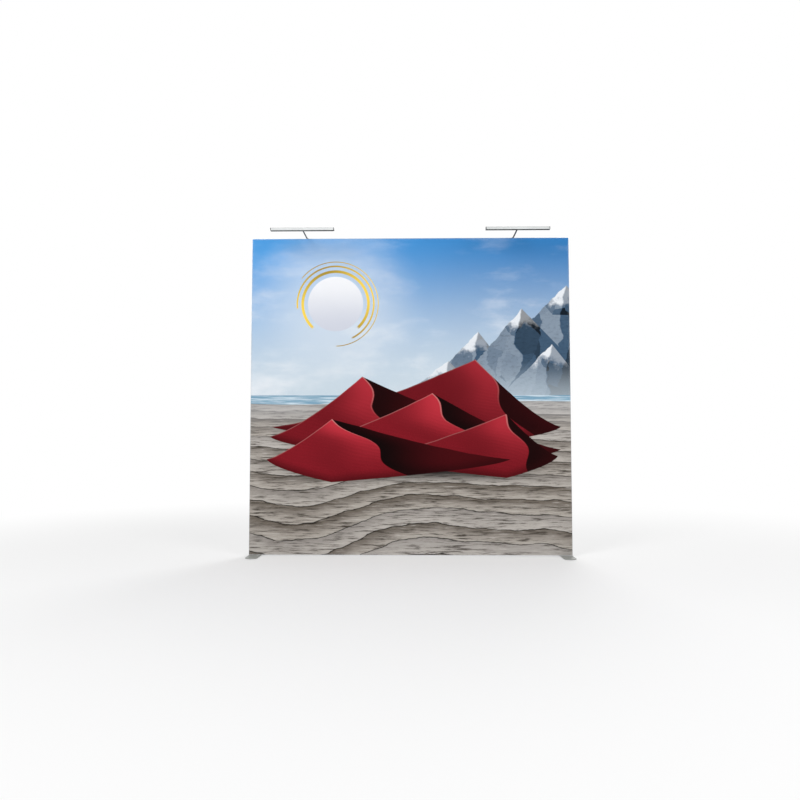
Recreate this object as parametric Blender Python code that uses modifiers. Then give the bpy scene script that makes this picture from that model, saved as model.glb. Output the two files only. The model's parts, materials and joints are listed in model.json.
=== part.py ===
"""A fabric display wall on a take-apart aluminium frame.

Eight mitred rails make the outline, with connectors in the corners and splices where two rails meet end
to end. A centre post and two braces stiffen the open back. The fabric's silicone edge is pushed into the
groove in the rails' front. Two foot plates swing out under the ends, and two bar lights clamp to the top
rail. Lengths are in metres, +Z is up, and the fabric faces -Y. Depth is measured from the fabric's front
towards +Y.
"""
from math import acos, cos, pi, radians, sin

import bmesh
import bpy
from mathutils import Matrix, Vector

# Overall sizes
WALL_WIDTH = 2.267
GRAPHIC_HEIGHT = 2.250

# Clearances
GAP = 0.0003
RUNNING_GAP = 0.0006
WELD = 0.000001
CUT_OVERRUN = 0.002

# Fabric and its silicone edge
FABRIC_THICKNESS = 0.0008
BEAD_THICKNESS = 0.003
BEAD_DEPTH = 0.012

# Rails
RAIL_WIDTH = 0.030
RAIL_DEPTH = 0.030
RAIL_WALL = 0.0018
SLOT_WIDTH = 0.008
SPLICE_LENGTH = 0.160
CONNECTOR_LEG = 0.110
CONNECTOR_DEPTH = 0.0168

# Post, braces and their plates
POST_WIDTH = 0.024
POST_DEPTH = 0.022
PLATE_THICKNESS = 0.003
PLATE_WIDTH = 0.020
PLATE_MARGIN = 0.012
CROSS_TAPER = 0.9
STUD_REACH = 0.040
STUD_RADIUS = 0.0035
STUD_HEAD = 0.016
STUD_HEAD_DEPTH = 0.003

# Corner levers
LEVER_INSET = 0.070
LEVER_SHAFT_RADIUS = 0.003
LEVER_HEAD_LENGTH = 0.022
LEVER_HEAD_WIDTH = 0.007
LEVER_HEAD_DEPTH = 0.0045
LEVER_DISC_RADIUS = 0.009
LEVER_TIP_RADIUS = 0.005
LEVER_REACH = 0.040
LEVER_THICKNESS = 0.006
LEVER_BITE = 0.012

# Feet
FOOT_PLATE = 0.0055
FOOT_PAD = 0.0015
FOOT_PAD_WIDTH = 0.060
FOOT_PAD_LENGTH = 0.030
FOOT_PAD_INSET = 0.040
FOOT_CLEARANCE = 0.0007
FOOT_WIDTH = 0.085
FOOT_REACH_FRONT = 0.150
FOOT_REACH_REAR = 0.216
FOOT_CORNER = 0.040
FOOT_POST_RADIUS = 0.005
FOOT_POST_HEAD = 0.006
FOOT_POST_HEAD_RADIUS = 0.008
BRACKET_WIDTH = 0.024
BRACKET_DEPTH = 0.026
BRACKET_BOTTOM = 0.0115
BRACKET_TOP = 0.072
BRACKET_STUD_HEIGHT = 0.055

# Lights
LIGHT_SPACING_SHARE = 0.3275
LAMP_REACH = 0.216
LAMP_LENGTH = 0.440
LAMP_DEPTH = 0.028
LAMP_HEIGHT = 0.020
LAMP_WALL = 0.0016
LAMP_CHAMFER = 0.004
LAMP_CAP = 0.004
LENS_THICKNESS = 0.002
LAMP_EYE_GAP = 0.004
LAMP_EAR = 0.003
INLET_RADIUS = 0.005
INLET_LENGTH = 0.012
INLET_INSET = 0.030
ARM_RADIUS = 0.00475
EYE_RADIUS = 0.006
EYE_LENGTH = 0.012
LAMP_PIN_RADIUS = 0.0023
BARREL_RADIUS = 0.008
BARREL_HEIGHT = 0.010
ARM_POST_RADIUS = 0.0037
ARM_POST_HEAD = 0.002
ARM_POST_HEAD_RADIUS = 0.006
CLAMP_WIDTH = 0.024
CLAMP_PLATE = 0.004
CLAMP_SHELF = 0.0035
CLAMP_SHELF_DEPTH = 0.0246
CLAMP_DROP = 0.030
ARM_PIVOT_BEHIND = 0.0146
NUT_SIDE = 0.014
NUT_DEPTH = 0.005
NUT_TRAVEL = 0.004
SCREW_RADIUS = 0.0022
KNOB_RADIUS = 0.012
KNOB_WAIST_RADIUS = 0.009
KNOB_NECK = 0.003
KNOB_DEPTH = 0.012

# Places worked out from the sizes above
PLATE_LOW = FOOT_PAD + GAP
PLATE_TOP = PLATE_LOW + FOOT_PLATE
FLOOR_CLEARANCE = PLATE_TOP + FOOT_CLEARANCE
TOP = FLOOR_CLEARANCE + GRAPHIC_HEIGHT
MIDDLE = FLOOR_CLEARANCE + GRAPHIC_HEIGHT / 2
FABRIC_FRONT = (LAMP_REACH - FOOT_REACH_REAR) / 2

GROOVE_WIDTH = BEAD_THICKNESS + 2 * GAP
GROOVE_DEPTH = BEAD_DEPTH + 2 * GAP
RAIL_FACE = FABRIC_THICKNESS + GAP
RAIL_REAR = RAIL_FACE + RAIL_DEPTH
LIP_FACE = RAIL_REAR - RAIL_WALL
REAR_SEAT = RAIL_REAR + GAP
RAIL_MIDDLE = RAIL_WIDTH / 2
INSERT_OUTER = 2 * RAIL_WALL + GROOVE_WIDTH + GAP
INSERT_INNER = RAIL_WIDTH - RAIL_WALL - GAP
INSERT_FRONT = RAIL_FACE + RAIL_WALL + GAP
INSERT_REAR = INSERT_FRONT + CONNECTOR_DEPTH

FOOT_AXIS_X = WALL_WIDTH / 2 - RAIL_MIDDLE
FOOT_AXIS_DEPTH = REAR_SEAT + BRACKET_DEPTH / 2
ARM_AXIS_DEPTH = REAR_SEAT + ARM_PIVOT_BEHIND
ARM_BASE = CLAMP_SHELF
ARM_HEIGHT = ARM_BASE + GAP + BARREL_HEIGHT / 2
EYE_DEPTH = -LAMP_REACH + LAMP_DEPTH + EYE_RADIUS + LAMP_EYE_GAP
LAMP_REAR = -(EYE_RADIUS + LAMP_EYE_GAP)
LAMP_FRONT = LAMP_REAR - LAMP_DEPTH

SIDES = {"left": -1, "right": 1}
LEVELS = {"bottom": -1, "top": 1}

RIM_SIDES = 16
FOOT_STEPS = 6


def clear_scene():
    for obj in list(bpy.data.objects):
        bpy.data.objects.remove(obj)


def new_collection(name):
    collection = bpy.data.collections.new(name)
    bpy.context.scene.collection.children.link(collection)
    return collection


def new_material(name, colour, roughness, metallic=0.0):
    material = bpy.data.materials.new(name)
    material.use_nodes = True
    shader = material.node_tree.nodes["Principled BSDF"]
    shader.inputs["Base Color"].default_value = (*colour, 1.0)
    shader.inputs["Roughness"].default_value = roughness
    shader.inputs["Metallic"].default_value = metallic
    return material


def make_materials():
    return {
        "printed_fabric": new_material("printed_fabric", (0.30, 0.45, 0.62), 0.85),
        "silicone": new_material("silicone", (0.80, 0.80, 0.78), 0.50),
        "rail_silver": new_material("rail_silver", (0.66, 0.67, 0.69), 0.35, 0.9),
        "black_plastic": new_material("black_plastic", (0.04, 0.04, 0.045), 0.45),
        "rubber": new_material("rubber", (0.03, 0.03, 0.03), 0.85),
        "steel": new_material("steel", (0.55, 0.56, 0.57), 0.30, 1.0),
        "foot_paint": new_material("foot_paint", (0.62, 0.64, 0.66), 0.40, 0.3),
        "lamp_silver": new_material("lamp_silver", (0.78, 0.79, 0.80), 0.35, 0.6),
        "lamp_black": new_material("lamp_black", (0.05, 0.05, 0.055), 0.40),
        "opal": new_material("opal", (0.30, 0.31, 0.32), 0.30),
    }


def new_empty(name, location, parent=None):
    """An empty at a point in its parent's frame."""
    empty = bpy.data.objects.new(name, None)
    empty.empty_display_size = RAIL_WIDTH
    empty.location = location
    empty.parent = parent
    bpy.context.scene.collection.objects.link(empty)
    return empty


def evaluated_mesh(obj):
    """The object's finished mesh with its doubles merged. The object is removed."""
    bpy.context.scene.collection.objects.link(obj)
    graph = bpy.context.evaluated_depsgraph_get()
    mesh = bpy.data.meshes.new_from_object(obj.evaluated_get(graph))
    bpy.data.objects.remove(obj)
    shape = bmesh.new()
    shape.from_mesh(mesh)
    bmesh.ops.remove_doubles(shape, verts=shape.verts, dist=WELD)
    bmesh.ops.recalc_face_normals(shape, faces=shape.faces)
    shape.to_mesh(mesh)
    shape.free()
    return mesh


def outline(points, thickness, holes=()):
    """A flat outline in XY, thickened evenly both ways along Z."""
    curve = bpy.data.curves.new("outline", "CURVE")
    curve.dimensions = "2D"
    curve.fill_mode = "BOTH"
    curve.extrude = thickness / 2
    for loop in (points, *holes):
        spline = curve.splines.new("POLY")
        spline.points.add(len(loop) - 1)
        spline.use_cyclic_u = True
        for point, (x, y) in zip(spline.points, loop):
            point.co = (x, y, 0, 1)
    return evaluated_mesh(bpy.data.objects.new("outline", curve))


def turned(profile, sides):
    """A profile of (radius, height) points turned about Z. It runs down the outer side."""
    mesh = bpy.data.meshes.new("profile")
    points = [(radius, 0, height) for radius, height in profile]
    edges = [(i, i + 1) for i in range(len(points) - 1)]
    if profile[-1][0] > 0:
        edges.append((len(points) - 1, 0))
    mesh.from_pydata(points, edges, [])
    obj = bpy.data.objects.new("profile", mesh)
    screw = obj.modifiers.new("turn", "SCREW")
    screw.steps = screw.render_steps = sides
    screw.use_merge_vertices = True
    screw.merge_threshold = WELD
    return evaluated_mesh(obj)


def box(low, high):
    """A box between two corners."""
    shape = bmesh.new()
    bmesh.ops.create_cube(shape, size=1)
    low, high = Vector(low), Vector(high)
    for vertex in shape.verts:
        share = vertex.co + Vector((0.5, 0.5, 0.5))
        vertex.co = low + Vector(s * d for s, d in zip(share, high - low))
    return to_mesh(shape)


def cylinder(radius, length, sides):
    """A cylinder along Z, centred on the origin."""
    shape = bmesh.new()
    bmesh.ops.create_cone(shape, cap_ends=True, segments=sides, radius1=radius, radius2=radius, depth=length)
    return to_mesh(shape)


def to_mesh(shape):
    mesh = bpy.data.meshes.new("shape")
    shape.to_mesh(mesh)
    shape.free()
    return mesh


def placed(mesh, matrix):
    """The mesh moved to a place."""
    mesh.transform(matrix)
    return mesh


def combined(mesh, other, operation):
    """The mesh joined with the other one, or cut by it."""
    obj = bpy.data.objects.new("body", mesh)
    tool = bpy.data.objects.new("tool", other)
    bpy.context.scene.collection.objects.link(tool)
    boolean = obj.modifiers.new("combine", "BOOLEAN")
    boolean.operation = operation
    boolean.object = tool
    result = evaluated_mesh(obj)
    bpy.data.objects.remove(tool)
    return result


def fused(mesh, *others):
    for other in others:
        mesh = combined(mesh, other, "UNION")
    return mesh


def carved(mesh, *cutters):
    for cutter in cutters:
        mesh = combined(mesh, cutter, "DIFFERENCE")
    return mesh


def at(x, y, z):
    return Matrix.Translation((x, y, z))


def turn(degrees, axis):
    return Matrix.Rotation(radians(degrees), 4, axis)


class Builder:
    """Puts finished meshes into the part's collection, under its root empty."""

    def __init__(self):
        self.collection = new_collection("fabric_popup_display")
        self.materials = make_materials()
        self.root = new_empty("wall_front", (0, FABRIC_FRONT, 0))

    def piece(self, name, mesh, material, location=(0, 0, 0), parent=None, rotation=(0, 0, 0), smooth=False):
        mesh.name = name
        mesh.materials.clear()
        mesh.materials.append(self.materials[material])
        if smooth:
            mesh.shade_smooth()
            mesh.set_sharp_from_angle(angle=pi / 5)
        obj = bpy.data.objects.new(name, mesh)
        obj.parent = parent or self.root
        obj.location = location
        obj.rotation_euler = rotation
        self.collection.objects.link(obj)
        return obj

    def pivot(self, name, location, parent=None):
        return new_empty(name, location, parent or self.root)


def rounded_rectangle(x_low, x_high, y_low, y_high, radius, steps):
    """Outline points of a rectangle whose corners are arcs."""
    centres = (
        (x_high - radius, y_low + radius, -90),
        (x_high - radius, y_high - radius, 0),
        (x_low + radius, y_high - radius, 90),
        (x_low + radius, y_low + radius, 180),
    )
    points = []
    for x, y, start in centres:
        for step in range(steps + 1):
            angle = radians(start + 90 * step / steps)
            points.append((x + radius * cos(angle), y + radius * sin(angle)))
    return points


def circle(radius, sides, x=0, y=0):
    return [(x + radius * cos(2 * pi * i / sides), y + radius * sin(2 * pi * i / sides)) for i in range(sides)]


def rail_section():
    """The rail's section: X from the wall's outer edge inwards, Y as depth from the fabric's front.

    A thin outer lip, the bead's groove, the face under the fabric, and a chamber with a slot in its rear.
    """
    groove_inner = RAIL_WALL + GROOVE_WIDTH
    groove_floor = RAIL_FACE + GROOVE_DEPTH
    front, inner = RAIL_FACE + RAIL_WALL, RAIL_WIDTH - RAIL_WALL
    slot_low, slot_high = RAIL_MIDDLE - SLOT_WIDTH / 2, RAIL_MIDDLE + SLOT_WIDTH / 2
    return [
        (0, 0),
        (RAIL_WALL, 0),
        (RAIL_WALL, groove_floor),
        (groove_inner, groove_floor),
        (groove_inner, RAIL_FACE),
        (RAIL_WIDTH, RAIL_FACE),
        (RAIL_WIDTH, RAIL_REAR),
        (slot_high, RAIL_REAR),
        (slot_high, LIP_FACE),
        (inner, LIP_FACE),
        (inner, front),
        (groove_inner + RAIL_WALL, front),
        (groove_inner + RAIL_WALL, groove_floor + RAIL_WALL),
        (RAIL_WALL, groove_floor + RAIL_WALL),
        (RAIL_WALL, LIP_FACE),
        (slot_low, LIP_FACE),
        (slot_low, RAIL_REAR),
        (0, RAIL_REAR),
    ]


def rail_mesh(start, end, mitre_start, mitre_end):
    """A rail along X between two places, its outer edge at Z = 0 and the rest of it below."""
    mesh = outline(rail_section(), end - start)
    mesh.transform(Matrix(((0, 0, 1, (start + end) / 2), (0, 1, 0, 0), (-1, 0, 0, 0), (0, 0, 0, 1))))
    middle = (start + end) / 2
    for vertex in mesh.vertices:
        if vertex.co.x > middle and mitre_end:
            vertex.co.x += vertex.co.z
        if vertex.co.x < middle and mitre_start:
            vertex.co.x -= vertex.co.z
    return mesh


def make_rails(build):
    """Two rails along each side, cut square where they meet and mitred at the corners."""
    sides = {
        "top": (0, (0, 0, TOP), WALL_WIDTH, "left", "right"),
        "right": (90, (WALL_WIDTH / 2, 0, MIDDLE), GRAPHIC_HEIGHT, "upper", "lower"),
        "bottom": (180, (0, 0, FLOOR_CLEARANCE), WALL_WIDTH, "right", "left"),
        "left": (270, (-WALL_WIDTH / 2, 0, MIDDLE), GRAPHIC_HEIGHT, "lower", "upper"),
    }
    for side, (angle, place, length, first, second) in sides.items():
        spin = (0, radians(angle), 0)
        far = length / 2 - GAP
        near = GAP / 2
        build.piece(f"{side}_rail_{first}", rail_mesh(-far, -near, True, False), "rail_silver", place, rotation=spin)
        build.piece(f"{side}_rail_{second}", rail_mesh(near, far, False, True), "rail_silver", place, rotation=spin)
        splice = box(
            (-SPLICE_LENGTH / 2, INSERT_FRONT, -INSERT_INNER),
            (SPLICE_LENGTH / 2, INSERT_REAR, -INSERT_OUTER),
        )
        build.piece(f"{side}_splice", splice, "steel", place, rotation=spin)


def make_graphic(build):
    """The fabric between the rails' outer lips, and the four silicone strips behind its rim."""
    edge = RAIL_WALL + GAP
    half = WALL_WIDTH / 2 - edge
    low, high = FLOOR_CLEARANCE + edge, TOP - edge
    build.piece("fabric_panel", box((-half, 0, low), (half, FABRIC_THICKNESS, high)), "printed_fabric")
    front, rear = RAIL_FACE, RAIL_FACE + BEAD_DEPTH
    build.piece("bead_top", box((-half, front, high - BEAD_THICKNESS), (half, rear, high)), "silicone")
    build.piece("bead_bottom", box((-half, front, low), (half, rear, low + BEAD_THICKNESS)), "silicone")
    side_low, side_high = low + BEAD_THICKNESS + GAP, high - BEAD_THICKNESS - GAP
    inner = half - BEAD_THICKNESS
    build.piece("bead_left", box((-half, front, side_low), (-inner, rear, side_high)), "silicone")
    build.piece("bead_right", box((inner, front, side_low), (half, rear, side_high)), "silicone")


def upright(points, depth_low, depth_high):
    """An outline given in X and height, made as thick as asked in depth."""
    mesh = outline(points, depth_high - depth_low)
    return placed(mesh, at(0, (depth_low + depth_high) / 2, 0) @ turn(90, "X"))


def depth_cylinder(radius, low, high, x=0, z=0):
    """A cylinder that runs in depth."""
    return placed(cylinder(radius, high - low, RIM_SIDES), at(x, (low + high) / 2, z) @ turn(90, "X"))


def corner_connector():
    """An L in the corner's chambers, about the corner of the wall, its legs to -X and -Z."""
    far = INSERT_OUTER + CONNECTOR_LEG
    points = [
        (-INSERT_OUTER, -INSERT_OUTER), (-far, -INSERT_OUTER), (-far, -INSERT_INNER),
        (-INSERT_INNER, -INSERT_INNER), (-INSERT_INNER, -far), (-INSERT_OUTER, -far),
    ]
    body = upright(points, INSERT_FRONT, INSERT_REAR)
    overrun = (INSERT_FRONT - CUT_OVERRUN, INSERT_REAR + CUT_OVERRUN)
    return carved(body, depth_cylinder(LEVER_SHAFT_RADIUS + GAP, *overrun, -LEVER_INSET, -RAIL_MIDDLE))


def teardrop(big, small, reach):
    """Outline of two circles and the straight sides that touch both. The small one is at -X."""
    side = acos((big - small) / reach)
    points = []
    for radius, centre, start, end in ((big, 0, side - pi, pi - side), (small, -reach, pi - side, pi + side)):
        for step in range(RIM_SIDES + 1):
            angle = start + (end - start) * step / RIM_SIDES
            points.append((centre + radius * cos(angle), radius * sin(angle)))
    return points


def lever_mesh():
    """A quarter-turn lever about its shaft: the T-head inside the rail, the handle behind it, to -X."""
    handle = upright(teardrop(LEVER_DISC_RADIUS, LEVER_TIP_RADIUS, LEVER_REACH), REAR_SEAT, REAR_SEAT + LEVER_THICKNESS)
    shaft = depth_cylinder(LEVER_SHAFT_RADIUS, INSERT_REAR - LEVER_BITE, REAR_SEAT + LEVER_THICKNESS / 2)
    head_rear = LIP_FACE - GAP
    half_width, half_length = LEVER_HEAD_WIDTH / 2, LEVER_HEAD_LENGTH / 2
    head = box((-half_width, head_rear - LEVER_HEAD_DEPTH, -half_length), (half_width, head_rear, half_length))
    return fused(handle, shaft, head)


def mirrored(mesh, across, up):
    """The mesh mirrored so that what points to -X and -Z follows the corner."""
    if across < 0:
        mesh.transform(Matrix.Diagonal((-1, 1, 1, 1)))
    if up < 0:
        mesh.transform(Matrix.Diagonal((1, 1, -1, 1)))
    if across * up < 0:
        mesh.flip_normals()
    return mesh


def make_corners(build):
    """A connector in each corner and the lever that locks its level leg to the rail."""
    for level, up in LEVELS.items():
        for side, across in SIDES.items():
            edge_x, edge_z = across * WALL_WIDTH / 2, TOP if up > 0 else FLOOR_CLEARANCE
            name = f"{level}_{side}"
            connector = mirrored(corner_connector(), across, up)
            build.piece(f"corner_connector_{name}", connector, "steel", (edge_x, 0, edge_z))
            place = (edge_x - across * LEVER_INSET, 0, edge_z - up * RAIL_MIDDLE)
            axis = build.pivot(f"lever_axis_{name}", place)
            build.piece(f"corner_lever_{name}", mirrored(lever_mesh(), across, up), "black_plastic", parent=axis)


def post_section():
    """The post's section: X across, Y as depth, with a slot in its rear."""
    half, slot = POST_WIDTH / 2, SLOT_WIDTH / 2
    front = RAIL_REAR - POST_DEPTH
    inner = half - RAIL_WALL
    return [
        (-half, front), (half, front), (half, RAIL_REAR), (slot, RAIL_REAR), (slot, LIP_FACE), (inner, LIP_FACE),
        (inner, front + RAIL_WALL), (-inner, front + RAIL_WALL), (-inner, LIP_FACE), (-slot, LIP_FACE),
        (-slot, RAIL_REAR), (-half, RAIL_REAR),
    ]


def post_mesh(low, high):
    return placed(outline(post_section(), high - low), at(0, 0, (low + high) / 2))


def brace_mesh(start, end):
    mesh = outline(post_section(), end - start)
    middle = (start + end) / 2
    mesh.transform(Matrix(((0, 0, 1, middle), (0, 1, 0, 0), (-1, 0, 0, 0), (0, 0, 0, 1))))
    return mesh


def stud(x, z):
    """A T-stud from the rear seat into a slot: its shaft, and its head behind the slot's lips."""
    head_rear = LIP_FACE - GAP
    shaft = depth_cylinder(STUD_RADIUS, head_rear - STUD_HEAD_DEPTH / 2, REAR_SEAT + PLATE_THICKNESS / 2, x, z)
    half = STUD_HEAD / 2
    head = box((x - half, head_rear - STUD_HEAD_DEPTH, z - half), (x + half, head_rear, z + half))
    return fused(shaft, head)


def studded_plate(points, places):
    plate = upright(points, REAR_SEAT, REAR_SEAT + PLATE_THICKNESS)
    return fused(plate, *(stud(x, z) for x, z in places))


def joining_plate(reach):
    """A plate from a rail's slot, at the origin, to -Z, with a stud at both ends."""
    half = PLATE_WIDTH / 2
    points = [(-half, -reach - PLATE_MARGIN), (half, -reach - PLATE_MARGIN), (half, PLATE_MARGIN), (-half, PLATE_MARGIN)]
    return studded_plate(points, ((0, 0), (0, -reach)))


def make_braces(build):
    """The centre post in two lengths, a brace to either side, and the plates that hold them."""
    low, high = FLOOR_CLEARANCE + RAIL_WIDTH + GAP, TOP - RAIL_WIDTH - GAP
    build.piece("centre_post_lower", post_mesh(low, MIDDLE - GAP / 2), "rail_silver")
    build.piece("centre_post_upper", post_mesh(MIDDLE + GAP / 2, high), "rail_silver")
    near, far = POST_WIDTH / 2 + GAP, WALL_WIDTH / 2 - RAIL_WIDTH - GAP
    build.piece("brace_left", brace_mesh(-far, -near), "rail_silver", (0, 0, MIDDLE))
    build.piece("brace_right", brace_mesh(near, far), "rail_silver", (0, 0, MIDDLE))

    half, reach = PLATE_WIDTH / 2, STUD_REACH + PLATE_MARGIN
    tip = half * CROSS_TAPER
    arm = [(half, -half), (reach, -tip), (reach, tip)]
    cross = []
    for quarter in range(4):
        c, s = cos(quarter * pi / 2), sin(quarter * pi / 2)
        cross += [(x * c - y * s, x * s + y * c) for x, y in arm]
    places = ((0, STUD_REACH), (0, -STUD_REACH), (STUD_REACH, 0), (-STUD_REACH, 0))
    build.piece("cross_plate", studded_plate(cross, places), "steel", (0, 0, MIDDLE))

    across = WALL_WIDTH / 2 - RAIL_MIDDLE
    plates = {
        "post_plate_top": (0, (0, 0, TOP - RAIL_MIDDLE)),
        "brace_plate_right": (90, (across, 0, MIDDLE)),
        "post_plate_bottom": (180, (0, 0, FLOOR_CLEARANCE + RAIL_MIDDLE)),
        "brace_plate_left": (270, (-across, 0, MIDDLE)),
    }
    for name, (angle, place) in plates.items():
        build.piece(name, joining_plate(RAIL_MIDDLE + STUD_REACH), "steel", place, rotation=(0, radians(angle), 0))


def foot_bracket():
    """A block behind the side rail, with its stud in the rail's slot and an upright bore for the foot's post."""
    half = BRACKET_WIDTH / 2
    block = box((-half, REAR_SEAT, BRACKET_BOTTOM), (half, REAR_SEAT + BRACKET_DEPTH, BRACKET_TOP))
    bore = cylinder(FOOT_POST_RADIUS + GAP, 2 * BRACKET_TOP + CUT_OVERRUN, RIM_SIDES)
    bore = placed(bore, at(0, FOOT_AXIS_DEPTH, 0))
    return fused(carved(block, bore), stud(0, BRACKET_STUD_HEIGHT))


def make_feet(build):
    """Under each end: a bracket on the side rail, and a plate that swings on its post with two pads."""
    collar_low, collar_high = PLATE_TOP + GAP, BRACKET_BOTTOM - GAP
    head_low = BRACKET_TOP + GAP
    head_top = head_low + FOOT_POST_HEAD
    post = [
        (0, head_top), (FOOT_POST_HEAD_RADIUS, head_top), (FOOT_POST_HEAD_RADIUS, head_low),
        (FOOT_POST_RADIUS, head_low), (FOOT_POST_RADIUS, collar_high), (FOOT_POST_HEAD_RADIUS, collar_high),
        (FOOT_POST_HEAD_RADIUS, collar_low), (FOOT_POST_RADIUS, collar_low), (FOOT_POST_RADIUS, PLATE_LOW),
        (0, PLATE_LOW),
    ]
    for side, sign in SIDES.items():
        axis = build.pivot(f"foot_axis_{side}", (sign * FOOT_AXIS_X, FOOT_AXIS_DEPTH, 0))
        build.piece(f"foot_bracket_{side}", foot_bracket(), "black_plastic", (sign * FOOT_AXIS_X, 0, 0))
        build.piece(f"foot_post_{side}", turned(post, RIM_SIDES), "steel", parent=axis, smooth=True)

        outer = sign * RAIL_MIDDLE
        x_low, x_high = sorted((outer, outer - sign * FOOT_WIDTH))
        y_low, y_high = -FOOT_REACH_FRONT - FOOT_AXIS_DEPTH, FOOT_REACH_REAR - FOOT_AXIS_DEPTH
        points = rounded_rectangle(x_low, x_high, y_low, y_high, FOOT_CORNER, FOOT_STEPS)
        hole = circle(FOOT_POST_RADIUS + GAP, RIM_SIDES)
        plate = placed(outline(points, FOOT_PLATE, [hole]), at(0, 0, PLATE_LOW + FOOT_PLATE / 2))
        build.piece(f"foot_plate_{side}", plate, "foot_paint", parent=axis)

        middle = (x_low + x_high) / 2
        half_width, half_length = FOOT_PAD_WIDTH / 2, FOOT_PAD_LENGTH / 2
        for end, y in (("front", y_low + FOOT_PAD_INSET), ("rear", y_high - FOOT_PAD_INSET)):
            pad = box((middle - half_width, y - half_length, 0), (middle + half_width, y + half_length, FOOT_PAD))
            build.piece(f"foot_pad_{end}_{side}", pad, "rubber", parent=axis)


def side_extrusion(points, width):
    """An outline given in depth and height, made as wide as asked along X."""
    mesh = outline(points, width)
    mesh.transform(Matrix(((0, 0, 1, 0), (1, 0, 0, 0), (0, 1, 0, 0), (0, 0, 0, 1))))
    return mesh


def clamp_body():
    """An L seen along X: a plate behind the rail with the screw's hole, and a shelf for the arm's post."""
    plate_rear, shelf_rear = REAR_SEAT + CLAMP_PLATE, REAR_SEAT + CLAMP_SHELF_DEPTH
    shape = [
        (REAR_SEAT, -CLAMP_DROP), (plate_rear, -CLAMP_DROP), (plate_rear, 0),
        (shelf_rear, 0), (shelf_rear, CLAMP_SHELF), (REAR_SEAT, CLAMP_SHELF),
    ]
    hole = depth_cylinder(SCREW_RADIUS + GAP, REAR_SEAT - CUT_OVERRUN, plate_rear + CUT_OVERRUN, 0, -RAIL_MIDDLE)
    neck_top = ARM_BASE + BARREL_HEIGHT + 2 * GAP
    head_top = neck_top + ARM_POST_HEAD
    post = turned(
        [(0, head_top), (ARM_POST_HEAD_RADIUS, head_top), (ARM_POST_HEAD_RADIUS, neck_top),
         (ARM_POST_RADIUS, neck_top), (ARM_POST_RADIUS, CLAMP_SHELF / 2), (0, CLAMP_SHELF / 2)],
        RIM_SIDES,
    )
    return fused(carved(side_extrusion(shape, CLAMP_WIDTH), hole), placed(post, at(0, ARM_AXIS_DEPTH, 0)))


def clamp_nut():
    """The T-nut behind the slot's lips, about the screw's axis."""
    half, rear = NUT_SIDE / 2, LIP_FACE - GAP
    block = box((-half, rear - NUT_DEPTH, -half), (half, rear, half))
    return carved(block, depth_cylinder(SCREW_RADIUS + GAP, rear - NUT_DEPTH - CUT_OVERRUN, rear + CUT_OVERRUN))


def clamp_knob():
    """The knob behind the clamp's plate, in one with the screw that runs forward through the nut."""
    front = REAR_SEAT + CLAMP_PLATE + GAP
    tip = LIP_FACE - GAP - NUT_DEPTH - NUT_TRAVEL - RUNNING_GAP
    waist = front + KNOB_NECK
    rear = front + KNOB_DEPTH
    knob = turned(
        [(0, rear), (KNOB_RADIUS, rear), (KNOB_RADIUS, waist), (KNOB_WAIST_RADIUS, front),
         (SCREW_RADIUS, front), (SCREW_RADIUS, tip), (0, tip)],
        RIM_SIDES,
    )
    return placed(knob, turn(-90, "X"))


def ring(outer, bore, length):
    return outline(circle(outer, RIM_SIDES), length, [circle(bore, RIM_SIDES)])


def arm_mesh():
    """The arm from its barrel, at the origin, forward to the eye that the lamp tilts on."""
    reach = ARM_AXIS_DEPTH - EYE_DEPTH
    barrel = ring(BARREL_RADIUS, ARM_POST_RADIUS + GAP, BARREL_HEIGHT)
    eye = placed(ring(EYE_RADIUS, LAMP_PIN_RADIUS + GAP, EYE_LENGTH), at(0, -reach, 0) @ turn(90, "Y"))
    start = (BARREL_RADIUS + ARM_POST_RADIUS) / 2
    end = reach - (EYE_RADIUS + LAMP_PIN_RADIUS) / 2
    rod = placed(cylinder(ARM_RADIUS, end - start, RIM_SIDES), at(0, -(start + end) / 2, 0) @ turn(90, "X"))
    return fused(rod, barrel, eye)


def lamp_outline():
    """The lamp's outer section: depth and height from the tilt axis, with two chamfered top edges."""
    half = LAMP_HEIGHT / 2
    return [
        (LAMP_FRONT, -half), (LAMP_REAR, -half), (LAMP_REAR, half - LAMP_CHAMFER),
        (LAMP_REAR - LAMP_CHAMFER, half), (LAMP_FRONT + LAMP_CHAMFER, half), (LAMP_FRONT, half - LAMP_CHAMFER),
    ]


def lamp_housing(inlet_side):
    """An aluminium trough, open below, with the ears, tilt pin and power inlet at its back."""
    half = LAMP_HEIGHT / 2
    wall, chamfer = LAMP_WALL, LAMP_CHAMFER
    outer = lamp_outline()
    inner = [
        (LAMP_FRONT + wall, -half), (LAMP_FRONT + wall, half - chamfer), (LAMP_FRONT + chamfer, half - wall),
        (LAMP_REAR - chamfer, half - wall), (LAMP_REAR - wall, half - chamfer), (LAMP_REAR - wall, -half),
    ]
    trough = side_extrusion(outer[1:] + outer[:1] + inner, LAMP_LENGTH - 2 * LAMP_CAP - 2 * GAP)
    seat = EYE_LENGTH / 2 + RUNNING_GAP
    ears = []
    for x in (-seat - LAMP_EAR, seat):
        ear_low = (x, LAMP_REAR - wall / 2, -EYE_RADIUS)
        ears.append(box(ear_low, (x + LAMP_EAR, EYE_RADIUS, EYE_RADIUS)))
    pin = placed(cylinder(LAMP_PIN_RADIUS, 2 * seat + LAMP_EAR, RIM_SIDES), turn(90, "Y"))
    inlet_x = inlet_side * (LAMP_LENGTH / 2 - INLET_INSET)
    inlet_start = LAMP_REAR - wall / 2
    inlet = depth_cylinder(INLET_RADIUS, inlet_start, inlet_start + INLET_LENGTH, inlet_x, 0)
    return fused(trough, *ears, pin, inlet)


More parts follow.
